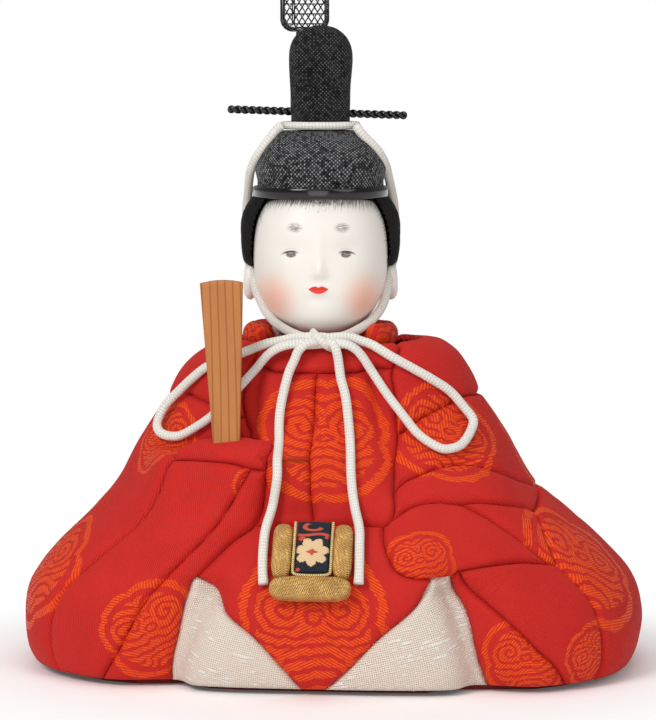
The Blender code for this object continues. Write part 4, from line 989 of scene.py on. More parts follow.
def evenly(points: Grid, count: int, smooth: int = 8) -> Grid:
    """A smooth course through points, read at even steps of its own length.

    Args:
        points: the course's knots.
        count: how many points to give.
        smooth: how many readings between two knots.

    Returns:
        The points.
    """
    fine = through(points, np.linspace(0, 1, (len(points) - 1) * smooth + 1))
    runs = runs_along(fine)
    return np.stack(
        [np.interp(np.linspace(0, runs[-1], count), runs, fine[:, axis]) for axis in range(3)], 1
    )


def length_of(points: Grid) -> float:
    """The length of a row of points."""
    return float(np.linalg.norm(np.diff(points, axis=0), axis=1).sum())


def frames_along(course: Grid, up: Sequence[float] = (0.0, -1.0, 0.3)) -> tuple[Grid, Grid]:
    """Two directions square to a course at each of its points, with no sudden twist.

    Args:
        course: the course's points.
        up: the direction that the first of them leans to.

    Returns:
        The two directions at each point.
    """
    tangents = unit(np.gradient(course, axis=0))
    side = np.array(up, float)
    sides = []
    for tangent in tangents:
        side = side - tangent * side.dot(tangent)
        side = side / np.linalg.norm(side)
        sides.append(side)
    sides = np.array(sides)
    return sides, np.cross(tangents, sides)


# The doll's frames


NECK_PLACE = (-3.2 * MM, -1.0 * MM, 0.0)
NECK_TURN = math.radians(6.0)
TABLET_PLACE = (-23.103 * MM, -29.4 * MM, 56.603 * MM)
TABLET_TILT = math.radians(-1.7)
NECK = np.array(Matrix.Translation(NECK_PLACE) @ Matrix.Rotation(NECK_TURN, 4, "Z"))


def moved(points: Grid, matrix: Grid) -> Grid:
    """Points carried by a matrix."""
    return points @ matrix[:3, :3].T + matrix[:3, 3]


@dataclass(frozen=True)
class Form:
    """A rounded form through rings of unlike section, with swells and hollows."""

    foot: float
    height: float
    half_width: float
    half_depth: float
    rings: tuple[tuple[float, ...], ...]
    reliefs: tuple[tuple, ...] = ()

    def surface(self, around: Grid, rise: Grid) -> Grid:
        """The form's points.

        Args:
            around: shares of the half turn from the front.
            rise: shares of the way through the rings.

        Returns:
            The points.
        """
        scale = [self.height, self.half_width, self.half_width, self.half_depth, self.half_depth, 1]
        rows = through(np.array(self.rings) * scale, rise)
        height, lean, width, front, back, square = rows.T
        side, ahead = np.sin(np.pi * around), np.cos(np.pi * around)
        reach = squared(np.pi * around, square)
        depth = np.where(ahead > 0, front, back)
        points = np.stack([width * reach * side, -depth * reach * ahead, 0 * side], 1)
        flat = ((around + 1) % 2 - 1) * np.pi * self.half_depth
        for low, high, out, below, above in self.reliefs:
            start = np.array([low[0] * np.pi * self.half_depth, low[1] * self.height])
            run = np.array([high[0] * np.pi * self.half_depth, high[1] * self.height]) - start
            here = np.stack([flat, height], 1) - start
            share = np.clip(here @ run / (run @ run), 0, 1)
            away = here - share[:, None] * run
            spread = np.where(away[:, 1] > 0, above, below)
            points += unit(points) * (out * np.exp(-((away**2).sum(1)) / spread**2))[:, None]
        points[:, 0] += lean
        points[:, 2] = height + self.foot
        return points

    def place(self, around: Grid, rise: Grid, out: Grid | float = 0.0) -> Grid:
        """Points that lie out from the form.

        Args:
            around: shares of the half turn from the front.
            rise: shares of the way through the rings.
            out: how far out each lies.

        Returns:
            The points.
        """
        near = 0.006
        low, high = np.clip(rise - near, 0, 1), np.clip(rise + near, 0, 1)
        across = self.surface(around + near, rise) - self.surface(around - near, rise)
        upward = self.surface(around, high) - self.surface(around, low)
        return self.surface(around, rise) + unit(np.cross(across, upward)) * np.reshape(out, (-1, 1))


BODY_FORM = Form(
    foot=0.0,
    height=82.2 * MM,
    half_width=76.5 * MM,
    half_depth=50.0 * MM,
    rings=(
        (0.000, 0.000, 0.957, 0.968, 1.028, 2.75),
        (0.073, 0.000, 0.991, 0.995, 1.056, 2.75),
        (0.170, 0.000, 1.000, 1.000, 1.061, 2.65),
        (0.268, -0.003, 0.972, 0.972, 1.030, 2.55),
        (0.365, -0.007, 0.882, 0.900, 0.955, 2.50),
        (0.462, -0.012, 0.770, 0.790, 0.880, 2.45),
        (0.560, -0.024, 0.673, 0.660, 0.820, 2.35),
        (0.681, -0.029, 0.597, 0.548, 0.740, 2.30),
        (0.803, -0.029, 0.520, 0.490, 0.650, 2.25),
        (0.900, -0.026, 0.458, 0.448, 0.560, 2.20),
        (0.961, -0.012, 0.390, 0.400, 0.470, 2.20),
        (0.990, -0.012, 0.318, 0.340, 0.370, 2.10),
        (1.000, -0.039, 0.180, 0.240, 0.240, 2.00),
    ),
    reliefs=(
        ((-0.190, 0.663), (-0.075, 0.663), 7.5 * MM, 13.0 * MM, 2.2 * MM),
        ((0.120, 0.426), (0.240, 0.535), 3.5 * MM, 12.0 * MM, 12.0 * MM),
        ((0.150, 0.608), (0.300, 0.596), 2.0 * MM, 9.0 * MM, 9.0 * MM),
        ((-0.167, 0.000), (-0.125, 0.268), -7.0 * MM, 4.5 * MM, 4.5 * MM),
        ((0.184, 0.000), (0.153, 0.292), -7.0 * MM, 4.5 * MM, 4.5 * MM),
        ((0.135, 0.900), (0.125, 0.584), -2.5 * MM, 3.5 * MM, 3.5 * MM),
        ((-0.140, 0.900), (-0.120, 0.750), -2.5 * MM, 3.5 * MM, 3.5 * MM),
        ((-0.060, 0.505), (0.085, 0.487), -2.5 * MM, 3.5 * MM, 3.5 * MM),
        ((-0.062, 0.572), (-0.117, 0.341), -2.5 * MM, 3.5 * MM, 3.5 * MM),
    ),
)


@dataclass(frozen=True)
class ChestForm(Form):
    """The body form with the shelf beside the cuff eased into the chest."""

    ease: float = 5.0 * MM

    def surface(self, around: Grid, rise: Grid) -> Grid:
        """The form's points.

        Args:
            around: shares of the half turn from the front.
            rise: shares of the way through the rings.

        Returns:
            The points.
        """
        points = super().surface(around, rise)
        _, high, out, below, above = self.reliefs[0]
        beyond = np.maximum(around - high[0], 0) * np.pi * self.half_depth
        over = points[:, 2] - self.foot - high[1] * self.height
        soft = np.exp(-((beyond / below) ** 2) - (over / self.ease) ** 2) - np.exp(
            -(beyond**2 + over**2) / above**2
        )
        soft = out * soft * (over > 0) * np.clip((around + 0.10) / 0.025, 0, 1)
        return points + unit(points * [1, 1, 0]) * soft[:, None]


CHEST_FORM = ChestForm(**vars(BODY_FORM))

HEAD_FORM = Form(
    foot=81.6 * MM,
    height=50.4 * MM,
    half_width=16.8 * MM,
    half_depth=17.4 * MM,
    rings=(
        (0.000, 0.0, 0.300, 0.400, 0.430, 2.0),
        (0.025, 0.0, 0.370, 0.600, 0.450, 2.0),
        (0.060, 0.0, 0.540, 0.800, 0.540, 2.0),
        (0.100, 0.0, 0.695, 0.880, 0.640, 2.1),
        (0.150, 0.0, 0.810, 0.920, 0.750, 2.2),
        (0.240, 0.0, 0.940, 0.965, 0.900, 2.2),
        (0.350, 0.0, 0.990, 0.980, 0.990, 2.2),
        (0.470, 0.0, 1.000, 0.980, 1.020, 2.2),
        (0.590, 0.0, 0.965, 0.955, 0.990, 2.2),
        (0.710, 0.0, 0.860, 0.860, 0.880, 2.2),
        (0.820, 0.0, 0.760, 0.760, 0.770, 2.1),
        (0.920, 0.0, 0.550, 0.550, 0.560, 2.0),
        (1.000, 0.0, 0.250, 0.250, 0.260, 2.0),
    ),
)

CROWN_FORM = Form(
    foot=117.6 * MM,
    height=15.8 * MM,
    half_width=15.6 * MM,
    half_depth=16.4 * MM,
    rings=(
        (0.00, 0.0, 1.000, 1.000, 1.000, 2.2),
        (0.13, 0.0, 1.010, 1.000, 1.010, 2.2),
        (0.35, 0.0, 1.000, 0.960, 1.000, 2.2),
        (0.54, 0.0, 0.935, 0.860, 0.945, 2.2),
        (0.78, 0.0, 0.785, 0.620, 0.800, 2.2),
        (0.96, 0.0, 0.610, 0.360, 0.620, 2.3),
        (1.00, 0.0, 0.540, 0.260, 0.550, 2.4),
    ),
)

KOJI_FORM = Form(
    foot=133.7 * MM,
    height=25.9 * MM,
    half_width=7.95 * MM,
    half_depth=6.0 * MM,
    rings=(
        (0.00, 0.0, 0.945, 1.000, 1.000, 2.5),
        (0.12, 0.0, 0.920, 0.970, 0.970, 2.5),
        (0.40, 0.0, 0.950, 0.900, 0.900, 2.5),
        (0.66, 0.0, 1.000, 0.860, 0.860, 2.5),
        (0.79, 0.0, 0.960, 0.800, 0.800, 2.4),
        (0.89, 0.0, 0.800, 0.680, 0.680, 2.3),
        (0.965, 0.0, 0.500, 0.440, 0.440, 2.1),
        (1.00, 0.0, 0.160, 0.150, 0.150, 2.0),
    ),
)


# The robe's cloth


Spans = tuple[tuple[str, int, int], ...]
Knots = tuple[Place, ...]


def seam_course(knots: Knots, steps: int = 8) -> Grid:
    """A seam's smooth course."""
    return through(np.array(knots), np.linspace(0, 1, (len(knots) - 1) * steps + 1))


@dataclass(frozen=True)
class Side:
    """One side of a panel: places on the form, and the real run to each."""

    places: Grid
    runs: Grid

    @classmethod
    def laid(cls, form: Form, table: dict[str, Knots], spans: Spans, steps: int = 8) -> Side:
        """Lay a side along spans of seams.

        Args:
            form: the form that the seams lie on.
            table: the seams.
            spans: the seams' names with their first and last knots.
            steps: how many places from each knot to the next.

        Returns:
            The side.
        """
        places: list[Grid] = []
        for name, first, last in spans:
            course = seam_course(table[name], steps)
            low, high = sorted((first, last))
            part = course[low * steps : high * steps + 1]
            part = part if first <= last else part[::-1]
            if places and abs(part[0][0] - places[-1][-1][0]) > 1:
                part = part + np.array([2.0 if part[0][0] < places[-1][-1][0] else -2.0, 0.0])
            places.append(part)
        row = np.concatenate(places)
        points = form.surface(row[:, 0], row[:, 1])
        runs = runs_along(points)
        return cls(row, runs)

    def at(self, shares: Grid) -> Grid:
        """The places at shares of the side's run."""
        target = np.asarray(shares) * self.runs[-1]
        return np.stack([np.interp(target, self.runs, self.places[:, axis]) for axis in (0, 1)], 1)


def fine_steps(run: float, cell: float, edge: Sequence[float]) -> Grid:
    """Shares along a side, close together where the cloth rolls into a groove.

    Args:
        run: the side's run.
        cell: the width of an inner step.
        edge: how far in from each end the close steps lie.

    Returns:
        The shares, from 0 to 1.
    """
    rim = min(edge[-1], run * 0.35)
    close = np.array(edge) * (rim / edge[-1])
    count = max(round((run - 2 * rim) / cell), 2)
    inner = np.linspace(rim, run - rim, count + 1)[1:-1]
    return np.concatenate([close, inner, (run - close)[::-1]]) / run


@dataclass(frozen=True)
class Patch:
    """A grid of places between four sides on a form."""

    form: Form
    sides: tuple[Side, Side, Side, Side]
    across: Grid
    upward: Grid

    @classmethod
    def between(
        cls, form: Form, table: dict[str, Knots], spans: tuple[Spans, ...], cell: float,
        edge: Sequence[float],
    ) -> Patch:
        """Lay a patch between four sides.

        Args:
            form: the form that it lies on.
            table: the seams.
            spans: the lower, upper, start and end sides' spans.
            cell: the width of an inner cell.
            edge: how far in from the sides the close cells lie.

        Returns:
            The patch.
        """
        sides = tuple(Side.laid(form, table, span) for span in spans)
        across = fine_steps(max(sides[0].runs[-1], sides[1].runs[-1]), cell, edge)
        upward = fine_steps(max(sides[2].runs[-1], sides[3].runs[-1]), cell, edge)
        return cls(form, sides, across, upward)

    def places(self) -> Grid:
        """The places of the grid.

        Returns:
            The places, row by row.
        """
        lower, upper, start, end = self.sides
        u, v = np.meshgrid(self.across, self.upward)
        u, v = u.ravel()[:, None], v.ravel()[:, None]
        below, above = lower.at(u[:, 0]), upper.at(u[:, 0])
        left, right = start.at(v[:, 0]), end.at(v[:, 0])
        corners = (start.places[0], end.places[0], start.places[-1], end.places[-1])
        found = below * (1 - v) + above * v + left * (1 - u) + right * u
        found -= (corners[0] * (1 - u) + corners[1] * u) * (1 - v)
        found -= (corners[2] * (1 - u) + corners[3] * u) * v
        return found

    def edge_points(self, count: int = 160) -> Grid:
        """Points along the four sides.

        Args:
            count: how many along each side.

        Returns:
            The points.
        """
        shares = np.linspace(0, 1, count)
        rows = [side.at(shares) for side in self.sides]
        return np.concatenate([self.form.surface(row[:, 0], row[:, 1]) for row in rows])

    def distance_in(self, points: Grid) -> Grid:
        """How far points lie in from the nearest side.

        Args:
            points: points on the form.

        Returns:
            The distances.
        """
        border = self.edge_points()
        nearest = [
            np.sqrt(
                ((part[:, None] - border[None]) ** 2).sum(2).min(1)
            ) for part in np.array_split(points, 24)
        ]
        return np.concatenate(nearest)


class ClothRule:
    """Lays cloth on a form: how far along its weave each place lies."""

    def __init__(self, form: Form) -> None:
        """Measure the form.

        Args:
            form: the form.
        """
        self.around = np.linspace(-1.3, 1.6, 700)
        self.rise = np.linspace(0, 1, 160)
        grid_around, grid_rise = np.meshgrid(self.around, self.rise)
        points = form.surface(grid_around.ravel(), grid_rise.ravel()).reshape(160, 700, 3)
        ring = np.linalg.norm(np.diff(points, axis=1), axis=2)
        self.ring = np.concatenate([np.zeros((160, 1)), np.cumsum(ring, axis=1)], axis=1)
        up = np.linalg.norm(np.diff(points, axis=0), axis=2)
        self.up = np.concatenate([np.zeros((1, 700)), np.cumsum(up, axis=0)], axis=0)

    def read(self, table: Grid, around: Grid, rise: Grid) -> Grid:
        """Read a table between its own places.

        Args:
            table: the numbers.
            around: shares of the half turn.
            rise: shares of the rise.

        Returns:
            The numbers there.
        """
        x = (around - self.around[0]) / (self.around[1] - self.around[0])
        y = np.clip(rise, 0, 1) * 159
        i, j = np.clip(x.astype(int), 0, 698), np.clip(y.astype(int), 0, 158)
        p, q = x - i, y - j
        low = table[j, i] * (1 - p) + table[j, i + 1] * p
        high = table[j + 1, i] * (1 - p) + table[j + 1, i + 1] * p
        return low * (1 - q) + high * q

    def lay(self, places: Grid, lean: float, chance: float) -> Grid:
        """Lay a panel's cloth.

        Args:
            places: the panel's places.
            lean: how far the weave is turned, in degrees.
            chance: the panel's own chance number.

        Returns:
            The run across and along the cloth at each place, in metres, and the chance number.
        """
        middle = places.mean(0)
        still = np.full(len(places), middle[0])
        x = self.read(self.ring, places[:, 0], places[:, 1]) - self.read(self.ring, still, places[:, 1])
        y = self.read(self.up, still, places[:, 1])
        y = y - y.mean()
        turn = math.radians(lean)
        across, along = x * math.cos(turn) - y * math.sin(turn), x * math.sin(turn) + y * math.cos(turn)
        return np.stack([across, along, np.full(len(x), chance)], 1)


@dataclass(frozen=True)
class Roundel:
    """One woven medallion, by its centre on the body form."""

    around: float
    rise: float
    radius: float
    turn: float = 0.0

    def spread(self, points: Grid) -> tuple[Grid, Grid]:
        """Points as seen from the medallion.

        Args:
            points: points in the doll's frame.

        Returns:
            Their places across and up it as shares of its radius, and their distances.
        """
        here, near = np.array([self.around]), 0.01
        rise = np.array([self.rise])
        centre = BODY_FORM.surface(here, rise)[0]
        across = unit(BODY_FORM.surface(here + near, rise)[0] - BODY_FORM.surface(here - near, rise)[0])
        upward = BODY_FORM.surface(here, rise + near)[0] - BODY_FORM.surface(here, rise - near)[0]
        upward = unit(upward - across * upward.dot(across))
        away = points - centre
        reach = np.linalg.norm(away, axis=1)
        flat = np.stack([away @ across, away @ upward], 1)
        turn = math.radians(self.turn)
        spin = np.array([[math.cos(turn), math.sin(turn)], [-math.sin(turn), math.cos(turn)]])
        flat = unit(flat @ spin.T) * (reach / self.radius)[:, None]
        return flat, reach / self.radius


def roundel_rows(points: Grid, roundels: Sequence[Roundel]) -> Grid:
    """What each point carries of the medallion nearest it.

    Args:
        points: points in the doll's frame.
        roundels: the medallions that the piece may carry.

    Returns:
        The place across and up the medallion, and 1 within its reach.
    """
    rows = np.zeros((len(points), 3))
    best = np.full(len(points), 99.0)
    for roundel in roundels:
        flat, reach = roundel.spread(points)
        near = reach < best
        rows[near, :2] = flat[near]
        best[near] = reach[near]
    rows[:, 2] = np.clip((1.25 - best) * 8, 0, 1)
    return rows


def ripples(points: Grid, depth: float, scale: float, seed: float) -> Grid:
    """Slow unevenness of hand-laid cloth.

    Args:
        points: points in the doll's frame.
        depth: its depth.
        scale: how far apart its waves lie.
        seed: a number that makes it differ from piece to piece.

    Returns:
        A height for each point.
    """
    total = np.zeros(len(points))
    for turn in range(5):
        angle = seed * 1.7 + turn * 2.4
        way = np.array([math.cos(angle), math.sin(angle * 1.3), math.sin(angle)])
        total += np.sin(points @ way * (2 * math.pi / scale) * (0.7 + 0.22 * turn) + seed * 5 + turn)
    return total / 5 * depth


@dataclass(frozen=True)
class PanelPlan:
    """One panel of cloth: its four sides, its weave's lean and its finish."""

    sides: tuple[Spans, Spans, Spans, Spans]
    lean: float = 0.0
    ivory: bool = False
    roundels: tuple[int, ...] = ()
    stuffing: float = 0.0
    form: Form = BODY_FORM
    slotted: bool = False


def spans(text: str) -> Spans:
    """Read spans of seams, each a name with its first and last knots."""
    parts = (part.split() for part in text.split(", "))
    return tuple((name, int(first), int(last)) for name, first, last in parts)


def panel_plan(lower: str, upper: str, start: str, end: str, **plan: object) -> PanelPlan:
    """Plan a panel from the texts of its four sides."""
    return PanelPlan(tuple(spans(side) for side in (lower, upper, start, end)), **plan)


@dataclass(frozen=True)
class Robe:
    """The robe and trousers: cloth panels whose edges roll into the core's grooves."""

    crepe: bpy.types.Material
    ivory: bpy.types.Material
    tuck: float = 1.9 * MM
    roll: float = 1.9 * MM
    puff: float = 0.45 * MM
    swell: float = 0.5 * MM
    cell: float = 1.15 * MM
    edge: tuple[float, ...] = (
        0.0, 0.10 * MM, 0.28 * MM, 0.52 * MM, 0.85 * MM, 1.25 * MM, 1.75 * MM, 2.5 * MM
    )

    def panel(self, name: str, plan: PanelPlan, rule: ClothRule, seed: int) -> None:
        """Lay one panel.

        Args:
            name: the packed node's name.
            plan: the panel's plan.
            rule: the cloth rule of the body.
            seed: the panel's number.
        """
        patch = Patch.between(
            plan.form, SEAMS, plan.sides, 0.4 * MM if plan.slotted else self.cell, self.edge
        )
        places = patch.places()
        flat = plan.form.surface(places[:, 0], places[:, 1])
        inward = patch.distance_in(flat)
        share = np.clip(inward / self.roll, 0, 1)
        bow = np.sqrt(np.clip(1 - (1 - share) ** 2, 0, 1))
        rise = -self.tuck + (self.tuck + self.puff) * bow
        rise += self.swell * (1 - np.exp(-np.clip(inward - self.roll, 0, None) / (5 * MM)))
        rise += ripples(flat, 0.28 * MM, 26 * MM, seed) * share + ripples(
            flat, 0.10 * MM, 9 * MM, seed + 9
        ) * share
        rise += plan.stuffing * (1 - np.exp(-((inward / (2.2 * MM)) ** 2)))
        points = plan.form.place(places[:, 0], places[:, 1], rise)
        points[:, 2] = np.maximum(points[:, 2], 0.2 * MM)
        faces = lattice(len(patch.upward), len(patch.across))
        if plan.slotted:
            faces = self.slot_faces(points, faces)
        carried = {"cloth": rule.lay(places, plan.lean, seed * 0.37 % 1.0)}
        if not plan.ivory:
            carried["roundel"] = roundel_rows(
                flat, [ROUNDELS[number] for number in plan.roundels] or [FAR_ROUNDEL]
            )
        made = piece(
            f"cloth_{name}", points, faces, self.ivory if plan.ivory else self.crepe, Body.ROBE,
            Slot.IVORY_CLOTH if plan.ivory else Slot.RED_CLOTH, name if name in bpy.data.objects else None,
            **carried,
        )
        self.declare(points.reshape(len(patch.upward), len(patch.across), 3))

    def slot_faces(self, points: Grid, faces: list[tuple[int, ...]]) -> list[tuple[int, ...]]:
        """Leave out the faces where the tablet passes.

        Args:
            points: the panel's points.
            faces: its faces.

        Returns:
            The faces that stay.
        """
        back = np.array(
            (Matrix.Translation(TABLET_PLACE) @ Matrix.Rotation(TABLET_TILT, 4, "Y")).inverted()
        )
        local = np.abs(moved(points, back))
        inside = (local[:, 0] < 3.5 * MM) & (local[:, 1] < 1.05 * MM)
        return [face for face in faces if not all(inside[number] for number in face)]

    def declare(self, grid: Grid) -> None:
        """Work out the size of the flat piece of cloth the panel was cut from; the sizes are not kept.

        Args:
            grid: its points, row by row.
        """
        one, two = grid[1:, 1:] - grid[:-1, :-1], grid[1:, :-1] - grid[:-1, 1:]
        area = float(np.linalg.norm(np.cross(one, two), axis=2).sum() / 2)
        width = max(length_of(grid[row]) for row in range(0, len(grid), 4))
        length = max(length_of(grid[:, column]) for column in range(0, grid.shape[1], 4))
        if area > width * length:
            length = area / width
        if area <= 0.31 * width * length:
            length = area / (0.5 * width)

    def build(self) -> None:
        """Lay all the panels."""
        rule = ClothRule(BODY_FORM)
        for seed, (name, plan) in enumerate(PANELS.items(), 1):
            self.panel(name, plan, rule, seed)
        for name in ("body_core", "base_cover"):
            workshop.info("%s stays as packed", name)


SEAMS: dict[str, Knots] = {
    "centre_front": ((0.0, 0.435), (0.0, 0.55), (0.0, 0.66), (0.0, 0.763)),
    "centre_back": ((1.0, 0.25), (1.0, 0.45), (1.0, 0.68), (1.0, 0.905)),
    "chest_hem": ((-0.081, 0.431), (-0.04, 0.434), (0.0, 0.435), (0.05, 0.437), (0.091, 0.435)),
    "band_hem": ((-0.165, 0.778), (-0.1, 0.765), (0.0, 0.763), (0.09, 0.765), (0.18, 0.778)),
    "neck_line": (
        (-1.0, 0.905), (-0.8, 0.91), (-0.5, 0.935), (-0.215, 0.925), (0.0, 0.915), (0.26, 0.925),
        (0.5, 0.935), (0.8, 0.91), (1.0, 0.905),
    ),
    "right_arm": ((-0.12, 0.607), (-0.14, 0.645), (-0.158, 0.7), (-0.165, 0.778), (-0.215, 0.925)),
    "right_yoke": (
        (-0.14, 0.645), (-0.21, 0.668), (-0.255, 0.68), (-0.32, 0.692), (-0.4, 0.682), (-0.52, 0.668),
        (-0.66, 0.68), (-0.8, 0.715),
    ),
    "right_back": ((-0.72, 0.015), (-0.745, 0.25), (-0.77, 0.45), (-0.8, 0.715), (-0.8, 0.91)),
    "right_outer": (
        (-0.29, 0.015), (-0.294, 0.1), (-0.296, 0.17), (-0.288, 0.25), (-0.266, 0.335), (-0.244, 0.408),
        (-0.228, 0.475), (-0.211, 0.54), (-0.2, 0.567),
    ),
    "right_middle": (
        (-0.225, 0.015), (-0.208, 0.075), (-0.192, 0.14), (-0.178, 0.217), (-0.166, 0.28), (-0.145, 0.365),
        (-0.115, 0.458), (-0.094, 0.515), (-0.078, 0.556),
    ),
    "right_inner": (
        (-0.168, 0.015), (-0.16, 0.09), (-0.152, 0.15), (-0.146, 0.21), (-0.1395, 0.28), (-0.134, 0.3),
        (-0.122, 0.335), (-0.104, 0.39), (-0.081, 0.431), (-0.068, 0.49), (-0.058, 0.552), (-0.057, 0.575),
    ),
    "cuff_lip": ((-0.2, 0.567), (-0.16, 0.569), (-0.11, 0.567), (-0.078, 0.556)),
    "cuff_back": ((-0.203, 0.597), (-0.16, 0.607), (-0.12, 0.607), (-0.057, 0.602)),
    "right_apron": ((-0.134, 0.3), (-0.095, 0.232), (-0.058, 0.165), (-0.03, 0.085), (-0.012, 0.015)),
    "left_apron": ((0.13, 0.31), (0.098, 0.235), (0.064, 0.165), (0.035, 0.085), (0.012, 0.015)),
    "left_arm": (
        (0.091, 0.435), (0.102, 0.45), (0.121, 0.508), (0.132, 0.56), (0.15, 0.617), (0.166, 0.7),
        (0.18, 0.778), (0.26, 0.925),
    ),
    "left_yoke": (
        (0.15, 0.617), (0.185, 0.636), (0.211, 0.65), (0.274, 0.67), (0.367, 0.69), (0.5, 0.685),
        (0.66, 0.683), (0.8, 0.715),
    ),
    "left_back": ((0.72, 0.015), (0.745, 0.25), (0.775, 0.42), (0.785, 0.5), (0.8, 0.715), (0.8, 0.91)),
    "left_fold_top": (
        (0.121, 0.508), (0.141, 0.533), (0.175, 0.551), (0.215, 0.561), (0.25, 0.56), (0.289, 0.547),
        (0.378, 0.519), (0.49, 0.492), (0.62, 0.478), (0.785, 0.5),
    ),
    "left_fold_hem": (
        (0.102, 0.45), (0.117, 0.467), (0.138, 0.484), (0.165, 0.492), (0.197, 0.486), (0.226, 0.488),
        (0.27, 0.478), (0.322, 0.463), (0.346, 0.45), (0.42, 0.466), (0.49, 0.48),
    ),
    "left_sliver": (
        (0.197, 0.486), (0.219, 0.462), (0.237, 0.431), (0.256, 0.397), (0.268, 0.362), (0.281, 0.335),
    ),
    "left_outer": (
        (0.31, 0.015), (0.312, 0.08), (0.311, 0.14), (0.308, 0.2), (0.303, 0.26), (0.294, 0.328),
        (0.305, 0.375), (0.323, 0.41), (0.346, 0.45),
    ),
    "left_cuff": (
        (0.091, 0.435), (0.085, 0.4), (0.085, 0.365), (0.089, 0.334), (0.104, 0.318), (0.13, 0.31),
        (0.152, 0.312), (0.159, 0.325),
    ),
    "left_front_top": (
        (0.159, 0.325), (0.181, 0.338), (0.207, 0.344), (0.241, 0.345), (0.281, 0.335), (0.294, 0.328),
    ),
    "left_middle": (
        (0.265, 0.015), (0.243, 0.085), (0.222, 0.131), (0.207, 0.172), (0.189, 0.225), (0.173, 0.275),
        (0.159, 0.325),
    ),
    "left_inner": (
        (0.192, 0.015), (0.18, 0.09), (0.173, 0.15), (0.167, 0.222), (0.158, 0.28), (0.152, 0.312),
    ),
    "right_hem": ((-1.0, 0.25), (-0.87, 0.25), (-0.745, 0.25)),
    "left_hem": ((0.745, 0.25), (0.87, 0.25), (1.0, 0.25)),
}

PANELS: dict[str, PanelPlan] = {
    "cuff_top": panel_plan(
        "cuff_lip 0 3", "cuff_back 0 3", "cuff_lip 0 0, cuff_back 0 0",
        "cuff_lip 3 3, right_inner 10 11, cuff_back 3 3", lean=34.0, stuffing=2.0 * MM, slotted=True,
    ),
    "chest_panel_right": panel_plan(
        "chest_hem 0 2", "band_hem 0 2", "right_inner 8 11, cuff_back 3 2, right_arm 0 3",
        "centre_front 0 3", lean=3.0, roundels=(8,), form=CHEST_FORM,
    ),
    "chest_panel_left": panel_plan(
        "chest_hem 2 4", "band_hem 2 4", "centre_front 0 3", "left_arm 0 6", lean=-4.0, roundels=(8,),
        form=CHEST_FORM,
    ),
    "chest_band": panel_plan(
        "band_hem 0 4", "neck_line 3 5", "right_arm 3 4", "left_arm 6 7",
    ),
    "right_shoulder_panel": panel_plan(
        "right_yoke 7 0", "neck_line 1 3", "right_back 3 4", "right_arm 1 4", lean=28.0, roundels=(7,),
    ),
    "right_outer_sleeve_panel": panel_plan(
        "right_back 0 0, right_outer 0 0", "right_yoke 7 0", "right_back 0 3",
        "right_outer 0 8, cuff_back 0 2, right_arm 0 1", lean=24.0, roundels=(6, 7, 11),
    ),
    "right_front_sleeve_panel": panel_plan(
        "right_outer 0 0, right_middle 0 0", "cuff_lip 0 3", "right_outer 0 8", "right_middle 0 8",
        lean=34.0, roundels=(5, 6, 10),
    ),
    "right_inner_sleeve_panel": panel_plan(
        "right_middle 0 0, right_inner 0 0", "right_middle 8 8, right_inner 10 10", "right_middle 0 8",
        "right_inner 0 10", lean=38.0, roundels=(5,),
    ),
    "left_shoulder_panel": panel_plan(
        "left_yoke 0 7", "neck_line 5 7", "left_arm 4 7", "left_back 4 5", lean=-24.0, roundels=(4,),
    ),
    "left_upper_sleeve_panel": panel_plan(
        "left_fold_top 0 9", "left_yoke 0 7", "left_arm 2 4", "left_back 3 4", lean=-30.0, roundels=(4, 12),
    ),
    "left_fold_panel": panel_plan(
        "left_fold_hem 0 10", "left_fold_top 0 7", "left_arm 1 2", "left_fold_hem 10 10, left_fold_top 7 7",
        lean=-12.0, roundels=(4,),
    ),
    "left_sliver_panel": panel_plan(
        "left_sliver 0 5", "left_fold_hem 4 8", "left_sliver 0 0", "left_front_top 4 5, left_outer 5 8",
        lean=-30.0, roundels=(0,),
    ),
    "left_cuff_panel": panel_plan(
        "left_cuff 3 7, left_front_top 0 4", "left_fold_hem 0 4, left_sliver 0 5",
        "left_cuff 3 0, left_arm 0 1", "left_sliver 5 5", lean=8.0, roundels=(1,),
    ),
    "left_outer_sleeve_panel": panel_plan(
        "left_outer 0 0, left_back 0 0", "left_fold_top 7 9",
        "left_outer 0 8, left_fold_hem 8 10, left_fold_top 7 7", "left_back 0 3", lean=-26.0,
        roundels=(0, 12),
    ),
    "left_front_sleeve_panel": panel_plan(
        "left_middle 0 0, left_outer 0 0", "left_front_top 0 5", "left_middle 0 6", "left_outer 0 5",
        lean=-20.0, roundels=(3,),
    ),
    "left_inner_sleeve_panel": panel_plan(
        "left_inner 0 0, left_middle 0 0", "left_cuff 6 7", "left_inner 0 5", "left_middle 0 6", lean=-28.0,
        roundels=(2,),
    ),
    "apron_panel": panel_plan(
        "right_apron 4 4, left_apron 4 4", "chest_hem 0 4", "right_apron 4 0, right_inner 5 8",
        "left_apron 4 0, left_cuff 5 0", lean=2.0, roundels=(9,),
    ),
    "hakama_right": panel_plan(
        "right_inner 0 0, right_apron 4 4", "right_inner 4 5", "right_inner 0 4", "right_apron 4 0",
        lean=12.0, ivory=True,
    ),
    "hakama_left": panel_plan(
        "left_apron 4 4, left_inner 0 0", "left_cuff 5 6", "left_apron 4 0", "left_inner 0 5", lean=-14.0,
        ivory=True,
    ),
    "back_panel_right": panel_plan(
        "right_hem 0 2", "neck_line 0 1", "centre_back 0 3", "right_back 1 4", lean=5.0, roundels=(13, 14),
    ),
    "back_panel_left": panel_plan(
        "left_hem 0 2", "neck_line 7 8", "left_back 1 5", "centre_back 0 3", lean=-5.0, roundels=(13, 15),
    ),
    "back_hem_panel": panel_plan(
        "left_back 0 0, right_back 0 0", "left_hem 0 2, right_hem 0 2", "left_back 0 1", "right_back 0 1",
        roundels=(14, 15),
    ),
}

